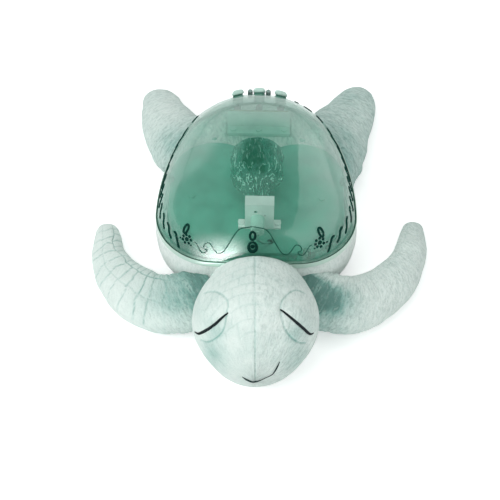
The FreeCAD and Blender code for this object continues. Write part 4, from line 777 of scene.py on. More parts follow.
def ring_faces(rows: int, columns: int) -> list[Array]:
    """Quads of a grid that closes both ways, as on a tyre.

    Args:
        rows: points round the section.
        columns: points round the ring.

    Returns:
        The open grid's faces, and those that join its last row to its first.
    """
    last = (rows - 1) * columns + np.arange(columns)
    first = np.arange(columns)
    bridge = np.stack([last, np.roll(last, -1), np.roll(first, -1), first], axis=1)
    return [grid_faces(rows, columns, True), bridge]


def grid_normals(grid: Array) -> Array:
    """Unit normals of a grid whose columns close: cross product of its central differences.

    Args:
        grid: points of shape (rows, columns, 3).

    Returns:
        A unit vector for each point.
    """
    along = np.gradient(grid, axis=0)
    across = np.roll(grid, -1, axis=1) - np.roll(grid, 1, axis=1)
    normal = np.cross(across, along)
    return normal / np.maximum(np.linalg.norm(normal, axis=2, keepdims=True), TINY)


def outward_normals(grid: Array, core: Union[Array, Triple]) -> Array:
    """Unit normals of a grid's points, one per row, turned round where they point at a core."""
    normals = grid_normals(grid)
    side = np.sign(np.sum(normals * (grid - core), axis=2, keepdims=True))
    return (normals * side).reshape(-1, 3)


def tube_grid(path: Array, ups: Array, radii: Array, flat: float = 1.0, sides: int = 10) -> Array:
    """Rings of an oval section carried along a path.

    Args:
        path: centre points.
        ups: direction of the section's short axis at each point.
        radii: half of the section's width at each point.
        flat: the section's height as a share of its width.
        sides: points in a ring.

    Returns:
        Grid of shape (points, sides, 3).
    """
    tangent = np.gradient(path, axis=0)
    tangent /= np.maximum(np.linalg.norm(tangent, axis=1, keepdims=True), TINY)
    side = np.cross(tangent, ups)
    side /= np.maximum(np.linalg.norm(side, axis=1, keepdims=True), TINY)
    up = np.cross(side, tangent)
    angle = np.linspace(0, 2 * np.pi, sides, endpoint=False)
    wide = np.cos(angle)[None, :, None] * side[:, None, :]
    tall = np.sin(angle)[None, :, None] * up[:, None, :] * flat
    return path[:, None, :] + (wide + tall) * radii[:, None, None]


def placed(name: str, data: bpy.types.ID) -> bpy.types.Object:
    """New object at the origin, put in the scene."""
    made = bpy.data.objects.new(name, data)
    bpy.context.scene.collection.objects.link(made)
    return made


class Piece:
    """A mesh under construction: points and faces as arrays, and numbers at each vertex."""

    def __init__(self, name: str) -> None:
        """Start empty."""
        self.name = name
        self.points = np.zeros((0, 3))
        self.faces: list[Array] = []
        self.values: dict[str, Array] = {}

    def add(self, points: Array, faces: Sequence[Array], **values: Array) -> "Piece":
        """Append points with their faces and numbers.

        Args:
            points: positions of any leading shape.
            faces: blocks of point numbers.
            values: numbers or vectors at each point.

        Returns:
            The piece itself.
        """
        shift = len(self.points)
        self.points = np.vstack([self.points, points.reshape(-1, 3)])
        self.faces += [face + shift for face in faces]
        for key, value in values.items():
            before = self.values.get(key, np.zeros((shift, *value.shape[1:])))
            self.values[key] = np.concatenate([before, value])
        return self

    def add_grid(self, grid: Array, caps: bool = True, **values: Array) -> "Piece":
        """Append a tube-like grid whose columns close, with a fan over each end.

        Args:
            grid: points of shape (rows, columns, 3).
            caps: close the first and the last row.
            values: numbers at each grid point.

        Returns:
            The piece itself.
        """
        rows, columns = grid.shape[:2]
        flat = grid.reshape(-1, 3)
        faces = [grid_faces(rows, columns, True)]
        extra = {key: value.reshape(rows * columns, *value.shape[2:])
                 for key, value in values.items()}
        ring = np.arange(columns)
        for first, flip in ((0, True), ((rows - 1) * columns, False)) if caps else ():
            loop = ring + first
            fan = np.stack([loop, np.roll(loop, -1), np.full(columns, len(flat))], axis=1)
            flat = np.vstack([flat, flat[loop].mean(0)])
            extra = {key: np.concatenate([value, value[loop].mean(0, keepdims=True)])
                     for key, value in extra.items()}
            faces.append(fan[:, ::-1] if flip else fan)
        return self.add(flat, faces, **extra)

    def make(self, finish: Finish) -> bpy.types.Object:
        """Turn the arrays into a smooth object in metres, with its finish.

        Args:
            finish: material of the piece.

        Returns:
            The finished object at the origin.
        """
        mesh = bpy.data.meshes.new(self.name)
        faces = [tuple(row) for block in self.faces for row in block.tolist()]
        mesh.from_pydata((self.points * MM).tolist(), [], faces)
        for key, value in self.values.items():
            if value.ndim == 1:
                layer = mesh.attributes.new(key, "FLOAT", "POINT")
                layer.data.foreach_set("value", value.astype(np.float32))
            else:
                layer = mesh.attributes.new(key, "FLOAT_VECTOR", "POINT")
                layer.data.foreach_set("vector", (value * MM).astype(np.float32).reshape(-1))
        working = bmesh.new()
        working.from_mesh(mesh)
        bmesh.ops.remove_doubles(working, verts=working.verts, dist=MERGE)
        bmesh.ops.dissolve_degenerate(working, dist=MERGE, edges=working.edges)
        bmesh.ops.recalc_face_normals(working, faces=working.faces)
        working.to_mesh(mesh)
        working.free()
        mesh.polygons.foreach_set("use_smooth", [True] * len(mesh.polygons))
        mesh.update()
        made = placed(self.name, mesh)
        PALETTE.dress(made, finish)
        LOG.info("%s: %d faces", self.name, len(mesh.polygons))
        return made


class Skin:
    """A surface that seams and threads are laid on."""

    def __init__(self, points: Array, faces: Array) -> None:
        """Build the search tree over a mesh given as arrays."""
        self.tree = BVHTree.FromPolygons(points.reshape(-1, 3).tolist(), faces.tolist())

    def sighted(self, points: Sequence[Triple]) -> Array:
        """Places where the camera's rays towards the points first meet the surface.

        Args:
            points: places near the surface.

        Returns:
            One place for each; the nearest one where a ray misses.
        """
        eye = Vector(EYE)
        places = []
        for point in points:
            place = self.tree.ray_cast(eye, (Vector(point) - eye).normalized())[0]
            if place is None:
                place = self.tree.find_nearest(Vector(point))[0]
            places.append(place)
        return np.array(places)

    def touched(self, points: Array, centre: Sequence[float]) -> tuple[Array, Array]:
        """Nearest places on the surface, with normals that point away from a centre.

        Args:
            points: places near the surface.
            centre: place behind the surface.

        Returns:
            The places, and their unit normals.
        """
        places, normals = [], []
        for point in np.asarray(points, float):
            place, normal, _, _ = self.tree.find_nearest(Vector(point))
            outward = place - Vector(centre)
            places.append(place)
            normals.append(-normal if normal.dot(outward) < 0 else normal)
        return np.array(places), np.array(normals)


# The rim's outline and the dome over it


@dataclass(frozen=True)
class EggOutline:
    """Rim seen from above: front, corner, side and rear arcs that meet smoothly."""

    half: float = 88.0
    front: float = -102.0
    rear: float = 89.0
    widest: float = -48.0
    corner: float = 53.0
    side: float = 250.0
    apex: float = -24.0
    arc_points: int = 400

    def arcs(self) -> list[tuple[float, float, float, float, float]]:
        """Arcs of the +X side from the front on, each tangent to the next.

        Returns:
            Centre's x and y, radius, and start and end angle of each arc.
        """
        corner_x = self.half - self.corner
        reach = self.corner + self.front
        front_y = (reach**2 - corner_x**2 - self.widest**2) / (2 * (reach - self.widest))
        side_x = self.half - self.side
        span = self.rear - self.widest
        rear_radius = (self.side**2 - side_x**2 - span**2) / (2 * (self.side - span))
        rear_y = self.rear - rear_radius
        turn_front = math.atan2(self.widest - front_y, corner_x)
        turn_rear = math.atan2(rear_y - self.widest, -side_x)
        return [
            (0.0, front_y, front_y - self.front, -math.pi / 2, turn_front),
            (corner_x, self.widest, self.corner, turn_front, 0.0),
            (side_x, self.widest, self.side, 0.0, turn_rear),
            (0.0, rear_y, rear_radius, turn_rear, math.pi / 2),
        ]

    def loop(self, offset: Union[float, Array] = 0.0, count: int = 360) -> Array:
        """Points of the whole outline moved outwards, at equal steps of length.

        Args:
            offset: distance outwards.
            count: points in the loop; an even number.

        Returns:
            Plan points from the front middle round by +X.
        """
        places = []
        for x, y, radius, start, end in self.arcs():
            angle = np.linspace(start, end, self.arc_points)
            ray = np.stack([np.cos(angle), np.sin(angle)], axis=1)
            places.append((x, y) + ray * (radius + offset))
        half = np.vstack(places)
        steps = np.concatenate([[0], np.cumsum(np.linalg.norm(np.diff(half, axis=0), axis=1))])
        wanted = np.linspace(0, steps[-1], count // 2 + 1)
        right = np.stack([np.interp(wanted, steps, half[:, k]) for k in (0, 1)], axis=1)
        left = right[-2:0:-1] * (-1.0, 1.0)
        return np.vstack([right, left])

    def gap(self, plan: Array) -> tuple[Array, Array]:
        """Signed distance from the outline, plus outside, and the way out.

        Args:
            plan: x and y, one point per row.

        Returns:
            Distances, and unit directions outwards.
        """
        hand = np.where(plan[:, 0] < 0, -1.0, 1.0)
        x = np.abs(plan[:, 0])
        best = np.full(len(plan), -1e3)
        out = np.tile((0.0, 1.0), (len(plan), 1))
        for cx, cy, radius, start, end in self.arcs():
            dx, dy = x - cx, plan[:, 1] - cy
            length = np.maximum(np.hypot(dx, dy), 1e-6)
            angle = np.arctan2(dy, dx)
            distance = length - radius
            better = (angle > start - 1e-4) & (angle < end + 1e-4) & (distance > best)
            best = np.where(better, distance, best)
            way = np.stack([hand * dx / length, dy / length], axis=1)
            out = np.where(better[:, None], way, out)
        return best, out

    def pressed(self, points: Array, wall: Callable[[Array], Array]) -> Array:
        """Points moved level out of a wall that follows the outline.

        Args:
            points: positions, one per row.
            wall: the wall's offset from the outline for an array of heights.

        Returns:
            The positions, none behind the wall.
        """
        distance, out = self.gap(points[:, :2])
        short = np.maximum(wall(points[:, 2]) - distance, 0.0)
        moved = points.copy()
        moved[:, :2] += out * short[:, None]
        return moved


EGG = EggOutline()


@dataclass(frozen=True)
class DomeForm:
    """Outer face of the dome: scaled outlines stacked by a level curve."""

    rim: float = 48.0
    rise: float = 67.0
    fullness: float = 0.18
    opening: float = 0.03

    def level(self, station: Array) -> Array:
        """Height at a station: 1 is the rim and 0 the apex."""
        bend = 1.0 - self.fullness**2
        return self.rim + self.rise * (np.sqrt(1.0 - bend * station**2) - self.fullness) / (
            1.0 - self.fullness
        )

    def grid(self, rows: int = 90, columns: int = 240) -> Array:
        """Points of the dome from the rim to the small opening left at the apex.

        Args:
            rows: loops from the rim up.
            columns: points in a loop.

        Returns:
            Grid of shape (rows, columns, 3).
        """
        outline = EGG.loop(0.0, columns)
        stations = np.sin(np.linspace(np.pi / 2, self.opening, rows))
        plan = (0.0, EGG.apex) + (outline - (0.0, EGG.apex)) * stations[:, None, None]
        height = np.broadcast_to(self.level(stations)[:, None, None], (rows, columns, 1))
        return np.concatenate([plan, height], axis=2)

    def skin(self) -> Skin:
        """The dome's face as a surface that relief is laid on."""
        grid = self.grid()
        return Skin(grid, grid_faces(*grid.shape[:2], True))


DOME = DomeForm()


# Stuffed forms


@dataclass
class Torso:
    """Stuffed ring round the tray that swells below the bezel."""

    inner: float = -15.6
    seam_level: float = 10.5
    seam_depth: float = 0.5
    lump: float = 0.55
    columns: int = 560
    bulge: tuple[tuple[float, float], ...] = (
        (0, -10.4), (1.2, -7), (6.1, -1.9), (15, 1), (26.4, 2.1), (36, 1.3),
        (41.5, 0.1), (43.6, -1.4),
    )

    def offset(self, heights: Array) -> Array:
        """Smooth curve through the bulge's rows, read by height.

        Args:
            heights: levels above the floor.

        Returns:
            Offset of the ring's skin from the rim's outline.
        """
        rows = np.array(self.bulge)
        fine = eased(np.linspace(0, len(rows) - 1, 200), rows)
        return np.interp(heights, fine[:, 0], fine[:, 1])

    def build(self) -> None:
        """Carry the closed section round the outline, with quilted lumps and a hem seam."""
        outer = dense_path(np.array(self.bulge)[:, ::-1], 0.9, 2)
        inner = np.array([[-2.0, 43.5], [-3.4, 42.0], [-8.0, 41.2], [self.inner, 40.0],
                          [self.inner, 20.0], [self.inner, 0.8], [-14.0, 0.0]])
        section = np.vstack([outer, dense_path(inner, 2.5, 2)])
        loops = np.stack([EGG.loop(offset, self.columns) for offset in section[:, 0]])
        height = np.broadcast_to(section[:, None, 1:], (*loops.shape[:2], 1))
        grid = np.concatenate([loops, height], axis=2)
        flat = grid.reshape(-1, 3)
        _, out = EGG.gap(flat[:, :2])
        outside = (np.arange(len(section)) < len(outer))[:, None]
        facing = np.broadcast_to(outside, grid.shape[:2]).reshape(-1)
        edge = smooth_step(flat[:, 2], 3.0, 9.0) * (1.0 - smooth_step(flat[:, 2], 38.0, 42.0))
        lumps = Cloud(31).layered(flat, 22.0) * self.lump * edge * facing
        hem = bell(flat[:, 2] - self.seam_level, 0.8) * self.seam_depth * facing
        flat[:, :2] += out * (lumps - hem)[:, None]
        tone = 0.08 * Cloud(32).at(flat, 40.0)
        # Painted shade: the pile darkens towards the floor.
        low = 0.05 * (1.0 - smooth_step(flat[:, 2], 4.0, 22.0))
        comb = sheet(np.arange(self.columns, dtype=float), grid[:, :, 2])
        piece = Piece("plush_torso_ring")
        piece.add(flat, ring_faces(*grid.shape[:2]), airbrush=np.clip(tone + low, 0.0, 1.0),
                  nap=np.full(len(flat), 0.6), comb=comb.reshape(-1, 3))
        # Painted light: the torso wears the paler copy of the mint pile.
        made = piece.make(Finish.PLUSH_PAINTED_LIGHT)
        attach(made, ROOT)
        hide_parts("plush_body")


TORSO = Torso()


def shell_wall(heights: Array) -> Array:
    """Offset that other stuffed forms keep to: the torso's skin, then the bezel's side."""
    rise = smooth_step(heights, 42.6, 44.2)
    return (TORSO.offset(heights) - 0.5) * (1.0 - rise) + 1.9 * rise


def settled(points: Array) -> Array:
    """Points moved level out of the shell's wall, and up where they are below the floor."""
    moved = EGG.pressed(points, shell_wall)
    moved[:, 2] = np.maximum(moved[:, 2], 0.0)
    return moved


def stuffed(name: str, grid: Array, airbrush: Array, nap: Array, comb: Array, node: str) -> None:
    """Args:
        name: name of the piece.
        grid: points of shape (rows, columns, 3), whose columns close.
        airbrush: share of the second colour at each grid point.
        nap: how strongly the strands show at each grid point.
        comb: place across and along the strands at each grid point.
        node: CAD node that the piece stands for.
    """
    piece = Piece(name).add_grid(grid, airbrush=airbrush, nap=nap, comb=comb)
    made = piece.make(Finish.PLUSH)
    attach(made, ROOT)
    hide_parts(node)


@dataclass
class Head:
    """Stuffed head with sewn eye patches, closed lids and a stitched mouth."""

    half: float = 53.5
    top: float = 92.0
    middle: float = -152.0
    core_level: float = 40.0
    columns: int = 330
    row_step: float = 0.85
    shift: float = 2.0
    scale_depth: float = 9.5
    scale_width: float = 11.0
    thread_step: float = 0.45
    thread_sides: int = 12
    stitch: float = 0.9
    rows: tuple[tuple[float, float, float, float], ...] = (
        (-60, 0.66, 4.0, 0.38), (-46, 0.69, 1.0, 0.69), (-34, 0.76, -0.6, 0.865),
        (-17, 0.905, -1.2, 0.94), (0, 0.985, -1.2, 0.985), (18, 0.96, -1.0, 0.97),
        (34, 0.785, 1.0, 0.845), (45, 0.56, 6.0, 0.665), (51, 0.32, 14.0, 0.50),
        (53.2, 0.0, 27.0, 0.295),
    )
    seam: Line = (
        (0.3, -108, 66), (0.5, -117.1, 77.6), (1.0, -144.4, 91.2), (1.6, -167.4, 89.1),
        (2.1, -184, 78.2), (2.5, -196.4, 61.1), (2.9, -203.6, 42.6), (2.9, -204, 23.2),
    )
    lids: tuple[Line, ...] = (
        ((-47.4, -175.9, 53.3), (-45.0, -178.0, 54.5), (-42.6, -179.8, 57.4), (-37, -180.9, 64.2),
         (-30.4, -180.0, 71.2), (-24.8, -177.6, 77.0), (-19.6, -175.2, 81.3)),
        ((50.1, -172.4, 50.4), (47.7, -173.9, 50.8), (45.2, -174.9, 54.4), (40.6, -175.5, 62.3),
         (34.0, -175.5, 71.9), (28.1, -174.2, 78.3), (22.1, -171.8, 82.8)),
    )
    patches: tuple[Line, ...] = (
        ((-40.5, -152.5, 75.5), (-32.8, -154.5, 81), (-26, -159.5, 84.7), (-21, -165.4, 85.6),
         (-19.7, -170.2, 84.2), (-20.8, -174.8, 81.1), (-21.5, -180.3, 76.4),
         (-23.8, -185.5, 69.9), (-28.7, -187.7, 63.6), (-36.2, -187.2, 56),
         (-42.1, -183.4, 52.9)),
        ((42.0, -149.0, 73.5), (34.4, -150.6, 79.9), (28.6, -156.8, 83.6), (23.8, -164, 84.8),
         (22.4, -169, 83.5), (22.7, -173.9, 80.8), (24, -179.3, 76.1), (26.5, -183.3, 70.7),
         (30.6, -185.6, 64.8), (34.8, -186.3, 59.5), (38.9, -185.3, 55.1), (43.1, -183, 51.6)),
    )
    mouth: Line = (
        (-7.7, -204, 30.7), (-3.7, -204, 26.1), (1.6, -204, 23.1), (7.8, -204, 26.5),
        (12.6, -204, 31.3), (17, -203.2, 34.7), (20.2, -201.1, 40.6), (22.6, -198.5, 46.6),
    )
    lid_widths: tuple[float, ...] = (0.4, 0.85, 1.25, 1.35, 1.25, 1.0, 0.6)
    mouth_widths: tuple[float, ...] = (0.28, 0.82, 0.8, 0.38, 0.32, 0.42, 0.66, 0.3)
    clouds: tuple[tuple[float, Triple, Triple], ...] = (
        (0.34, (30, -183, 66), (8, 8, 9)), (0.12, (38, -168, 68), (11, 10, 12)),
        (0.34, (34, -190, 44), (12, 12, 16)), (0.09, (22, -196, 50), (14, 10, 16)),
    )

    @property
    def core(self) -> Triple:
        """Place inside the head that its skin faces away from."""
        return (0.0, self.middle, self.core_level)

    def form(self) -> Array:
        """Plain form: upright ovals from the neck to the muzzle, pressed against the shell.

        Returns:
            Grid of shape (rows, columns, 3).
        """
        rows = np.array([[ahead, share * self.half, low, high * self.top]
                         for ahead, share, low, high in self.rows])
        curve = dense_path(rows, self.row_step, 4)
        angle = np.linspace(0, 2 * np.pi, self.columns, endpoint=False) - np.pi / 2
        ahead, half, low, high = curve.T[:, :, None]
        lift = np.sin(angle)[None, :]
        x = half * np.cos(angle)[None, :] + self.shift
        y = np.broadcast_to(self.middle - ahead, x.shape)
        z = (high + low) / 2 + (high - low) / 2 * lift
        grid = np.stack([x, y, z], axis=2)
        return settled(grid.reshape(-1, 3)).reshape(grid.shape)

    def quilting(self, points: Array) -> Array:
        """Faint sewn scales on the crown: wavering rows crossed by short joins.

        Args:
            points: positions, one per row.

        Returns:
            Strength of the sewn lines at each point, 0 to 1.
        """
        x, y = points[:, 0], points[:, 1]
        sway = Cloud(12).at(points, 16.0) * 2.2
        row = (y + sway + 0.012 * x**2) / self.scale_depth
        shift = 0.5 * np.mod(np.floor(row), 2.0)
        join = (x + Cloud(14).at(points, 12.0) * 2.0) / self.scale_width + shift
        rows = bell((np.abs(np.mod(row, 1.0) - 0.5) - 0.5) * self.scale_depth, 0.6)
        joins = bell((np.abs(np.mod(join, 1.0) - 0.5) - 0.5) * self.scale_width, 0.6)
        top = smooth_step(points[:, 2], 62.0, 76.0) * (1.0 - 0.55 * smooth_step(x, -2.0, 14.0))
        return np.maximum(rows, joins * 0.9) * top * smooth_step(-y, 106.0, 118.0)

    @staticmethod
    def drawn(line: Line, skin: Skin, step: float = 0.6) -> Array:
        """Dense path of a line drawn on the skin through the places that the camera sees."""
        return dense_path(skin.sighted(line), step)

    def folds(self, points: Array, skin: Skin) -> Array:
        """How far each point rises or sinks for seams, patches, lids, mouth and stuffing.

        Args:
            points: positions on the plain form.
            skin: surface of the plain form.

        Returns:
            Sum of layered noise, bells about the seams and swellings under the lids.
        """
        rise = Cloud(11).layered(points, 26.0) * 0.5 - self.quilting(points) * 0.45
        seam = path_distance(points, self.drawn(self.seam, skin))
        rise -= bell(seam, 0.8) * 0.75 - bell(seam, 5.0) * 0.25
        for patch, lid in zip(self.patches, self.lids):
            outline = path_distance(points, self.drawn(patch, skin))
            rise -= bell(outline, 0.9) * 0.8
            middle = np.mean(skin.sighted(patch), axis=0) * (1.12, 1.0, 1.0)
            inside = bell(np.linalg.norm(points - middle, axis=1), 15.0)
            line = self.drawn(lid, skin)
            order = np.argsort(np.abs(line[:, 0]))
            level = np.interp(np.abs(points[:, 0]), np.abs(line[order, 0]), line[order, 2])
            above = smooth_step(points[:, 2] - level, -2.0, 3.0)
            groove = bell(path_distance(points, line), 1.5) * 0.8
            rise += inside * (1.0 + 0.9 * above) - groove
        smile = path_distance(points, self.drawn(self.mouth, skin))
        rise -= bell(smile, 1.4) * 0.9 - bell(smile, 5.0) * 0.3
        return rise * smooth_step(points[:, 2], 0.5, 6.0)

    def tint(self, points: Array, skin: Skin) -> Array:
        """Share of the second colour: under the lids, on the cheeks and on the muzzle.

        Args:
            points: positions on the plain form.
            skin: surface of the plain form.

        Returns:
            Shares from 0 to 1: noise, soft clouds, and bells about the sewn lines.
        """
        tone = 0.03 + 0.09 * Cloud(13).layered(points, 16.0) + 0.14 * self.quilting(points)
        for hand in (-1, 1):
            for share, (x, y, z), spread in self.clouds:
                tone += share * spot(points, (hand * x + self.shift, y, z), spread)
        for patch in self.patches:
            tone += 0.52 * bell(path_distance(points, self.drawn(patch, skin, 0.8)), 0.65)
        seam = path_distance(points, self.drawn(self.seam, skin, 0.8))
        return np.clip(tone + 0.28 * bell(seam, 0.6), 0.0, 1.0)

    def thread(self, name: str, lines: Sequence[Line], widths: tuple[float, ...], skin: Skin,
               finish: Finish) -> None:
        """Satin-stitched lines laid on the skin, with a faint bead for every stitch.

        Args:
            name: name of the piece.
            lines: control points of each line.
            widths: half width at every control point.
            skin: surface of the head.
            finish: colour of the thread.
        """
        piece = Piece(name)
        for points in lines:
            rows = np.column_stack([skin.sighted(points), widths])
            line = dense_path(rows, self.thread_step)
            seats, ups = skin.touched(line[:, :3], self.core)
            along = np.arange(len(line)) * self.thread_step
            bead = 1.0 + 0.05 * np.sin(along * 2 * np.pi / self.stitch)
            grid = tube_grid(seats + ups * 0.15, ups, line[:, 3] * bead, 0.55,
                             self.thread_sides)
            stitch = np.repeat((along / self.stitch)[:, None], self.thread_sides, axis=1)
            piece.add_grid(grid, stitch=stitch)
        made = piece.make(finish)
        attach(made, ROOT)

    def build(self) -> None:
        """Make the head, its lids and its mouth."""
        plain = self.form()
        faces = grid_faces(*plain.shape[:2], True)
        base = Skin(plain, faces)
        flat = plain.reshape(-1, 3)
        out = outward_normals(plain, self.core)
        grid = settled(flat + out * self.folds(flat, base)[:, None]).reshape(plain.shape)
        tint = self.tint(flat, base).reshape(plain.shape[:2])
        side = smooth_step(flat[:, 0], -6.0, 10.0)
        low = 1.0 - smooth_step(flat[:, 2], 35.0, 70.0)
        nap = np.clip(0.30 + 0.50 * side + 0.15 * low, 0.0, 1.0).reshape(plain.shape[:2])
        steps = np.linalg.norm(np.diff(plain, axis=0), axis=2).mean(axis=1)
        along = np.concatenate([[0.0], np.cumsum(steps)])
        comb = sheet(np.linspace(0.0, 250.0, self.columns), along[:, None])
        stuffed("plush_head_skin", grid, tint, nap, comb, "plush_head")
        skin = Skin(grid, faces)
        self.thread("eyelid_embroidery", self.lids, self.lid_widths, skin, Finish.THREAD)
        self.thread("mouth_embroidery", [self.mouth], self.mouth_widths, skin,
                    Finish.MOUTH_THREAD)


@dataclass
class Flipper:
    """Stuffed limb: ovals carried along a bent line, with embossed scales on its back."""

    name: str
    node: str
    hand: int
    rows: tuple[tuple[float, float, float, float, float], ...]
    thick: float
    teal: float
    scales: float
    seed: int
    nap: float = 0.8
    tone: float = 0.02
    pale_back: float = 0.0
    columns: int = 230
    row_step: float = 0.95
    half_span: float = 24.0
    foot: float = 1.2
    fade: float = 0.50

    def form(self) -> tuple[Array, Array, Array]:
        """Ovals that stand on the floor, square to the line through the rows.

        Returns:
            The grid, the length reached at each row, and the place across, -1 to 1.
        """
        rows = np.array([[x, y, math.radians(heading), width / 2, share * self.thick / 2]
                         for x, y, heading, width, share in self.rows])
        x, y, heading, _, _ = rows[-1]
        tip = [x + 1.2 * math.cos(heading), y + 1.2 * math.sin(heading), heading, 0.4, 0.6]
        curve = dense_path(np.vstack([rows, tip]), self.row_step, 5)
        steps = np.linalg.norm(np.diff(curve[:, :2], axis=0), axis=1)
        length = np.concatenate([[0.0], np.cumsum(steps)])
        cx, cy, heading, wide, tall = curve.T[:, :, None]
        angle = np.linspace(0, 2 * np.pi, self.columns, endpoint=False)[None, :] - np.pi / 2
        across = np.cos(angle)
        px = cx - np.sin(heading) * wide * across
        py = cy + np.cos(heading) * wide * across
        pz = tall * (1.0 + np.sin(angle)) - self.foot
        grid = np.stack([self.hand * px, py, pz], axis=2)
        return grid, length, across[0]

    def creases(self, length: Array, across: Array, top: Array) -> Array:
        """Depth of the embossed lines: two along the limb, and ribs across between them.

        Args:
            length: reached at each row.
            across: place of each column, -1 to 1.
            top: share to which a place faces up.

        Returns:
            Depth at each grid point, 0 to 1.
        """
        rng = np.random.default_rng(self.seed)
        upper, lower, edge = 0.48, -0.30, 1.2
        along, place = np.broadcast_arrays(length[:, None], across[None, :])
        flat = sheet(along, place * self.half_span).reshape(-1, 3)
        waver = Cloud(self.seed + 5).layered(flat, 11.0).reshape(along.shape)
        sway = 0.05 * np.sin(along / 9.0 + self.seed) + 0.07 * waver
        depth = bell((place - upper - sway) * self.half_span, 0.5)
        other = bell((place - lower + sway) * self.half_span, 0.5) * 0.35
        depth = np.maximum(depth, other)
        bands = ((upper, edge, 0.0, 8.5, 1.0), (lower, upper, 0.5, 10.5, 1.0),
                 (-edge, lower, 0.5, 10.5, 0.8))
        for low, high, phase, pitch, strength in bands:
            inside = smooth_step(place - sway, low, low + 0.03)
            inside = inside * (1.0 - smooth_step(place - sway, high - 0.03, high))
            for count in range(int(length[-1] / pitch) + 1):
                middle = (count + phase + rng.uniform(-0.16, 0.16)) * pitch
                bend = 3.0 * (place - (low + high) / 2) ** 2 + 1.5 * place + 1.8 * waver
                rib = bell(along - middle - bend, 0.52) * strength * inside
                depth = np.maximum(depth, rib * rng.uniform(0.6, 1.0))
        return depth * top

    def build(self) -> None:
        """Make the limb: lumps, creases, an edge seam, and the shoulder pressed to the torso."""
        grid, length, across = self.form()
        flat = grid.reshape(-1, 3)
        out = outward_normals(grid, grid.mean(axis=1, keepdims=True))
        upward = smooth_step(out[:, 2], 0.05, 0.35).reshape(grid.shape[:2])
        share = length / length[-1]
        held = smooth_step(share, 0.20, 0.34) * (1.0 - smooth_step(share, 0.90, 0.97))
        crease = self.creases(length, across, upward * held[:, None]) * self.scales
        lumps = Cloud(self.seed).layered(flat, 20.0) * 0.7
        drawn = sheet(length[:, None], np.linspace(0.0, 36.0, self.columns))
        puckers = np.abs(Cloud(self.seed + 1).at(drawn.reshape(-1, 3), 6.5)) * 2.2
        root = np.broadcast_to(1.0 - smooth_step(share, 0.1, 0.42)[:, None], grid.shape[:2])
        seam = bell((np.abs(across) - 1.0)[None, :] * 60.0, 1.0) * (1.0 - root) * 0.5
        rise = lumps + puckers * root.reshape(-1) - (crease * 1.1 + seam).reshape(-1)
        moved = settled(flat + out * rise[:, None])
        # Painted shade: the pile darkens towards the floor.
        floor_shade = 1.0 - smooth_step(flat[:, 2], 2.0, 16.0)
        back = 1.0 - self.pale_back * smooth_step(across, -0.05, 0.5)[None, :]
        back = back * (1.0 - 0.7 * smooth_step(-across, 0.45, 0.95)[None, :])
        shaded = (1.0 - smooth_step(share, 0.10, self.fade)) ** 1.4 * self.teal
        necked = (1.0 - smooth_step(share, 0.05, 0.20)) * 0.55 * self.teal
        tone = ((shaded + necked)[:, None] * back).reshape(-1)
        tone = tone + self.tone + 0.06 * Cloud(self.seed + 2).layered(flat, 30.0) + 0.06 * floor_shade
        # Painted shade: the embossed creases are darkened towards teal.
        tone = tone + 0.6 * crease.reshape(-1)
        airbrush = np.clip(tone, 0.0, 1.0).reshape(grid.shape[:2])
        nap = np.clip(self.nap + (1.0 - self.nap) * root, 0.0, 1.0)
        round_way = np.linspace(0.0, 130.0, self.columns)
        comb = sheet(length[:, None] + 0.35 * round_way, round_way)
        stuffed(self.name, moved.reshape(grid.shape), airbrush, nap, comb, self.node)


# Stations of each limb: x and y of its middle, heading in degrees, width, share of its thickness

FRONT_RIGHT_ROWS = (
    (34.2, -110, -14, 8, 0.3), (35.6, -110.2, -14, 32, 0.66),
    (38.4, -110.8, -13, 48, 0.86), (43.4, -111.7, -12, 55.9, 0.94),
    (64.8, -122.2, -8, 57.8, 1), (86.9, -121.9, 8, 55.7, 0.98),
    (105.3, -110.6, 33, 51.4, 0.92),
    (121, -93.1, 52, 41, 0.84), (131.7, -71.3, 66, 32.2, 0.74),
    (135.2, -49.4, 74, 26.7, 0.62), (137.7, -34.5, 78, 18.2, 0.42),
    (140.5, -28.1, 80, 8.6, 0.2),
)
FRONT_LEFT_ROWS = (
    (35, -105.4, -12, 10, 0.34), (36.2, -105.6, -12, 36, 0.72),
    (39.1, -106.2, -12, 54.9, 0.94), (62.2, -116.9, -8, 56.7, 1),
    (85.7, -120.1, 8, 55.2, 0.98), (105.4, -109.2, 33, 47.8, 0.92),
    (123.9, -91, 52, 41, 0.84), (136.6, -67.7, 66, 31.7, 0.74),
    (142.3, -43.8, 74, 26.7, 0.62), (144.3, -26.2, 78, 18.1, 0.42),
    (146.3, -19, 80, 7.6, 0.2),
)
REAR_RIGHT_ROWS = (
    (53.1, 41.9, 42, 67.8, 0.96), (73.7, 65, 50, 67, 1), (87.5, 89.9, 64, 55.6, 0.92),
    (94.5, 110.1, 78, 44.8, 0.78), (98.7, 128.7, 86, 36.7, 0.6),
    (99.8, 140.7, 90, 23.2, 0.4), (99.6, 145.5, 90, 10.1, 0.2),
)
REAR_LEFT_ROWS = (
    (61.1, 35.6, 42, 75.2, 0.96), (72, 63.1, 50, 70.2, 1), (80.3, 93.8, 64, 60.7, 0.92),
    (89.7, 114.4, 78, 49.8, 0.78), (94.5, 134.4, 86, 39.1, 0.6),
    (96.5, 148.8, 90, 23.4, 0.4), (96.7, 153, 90, 10.1, 0.2),
)
TAIL_ROWS = (
    (0, 77, 90, 34, 1), (0, 88, 90, 30, 0.94), (0, 97, 90, 23, 0.8), (0, 105, 90, 15, 0.55),
    (0, 110, 90, 6, 0.28),
)


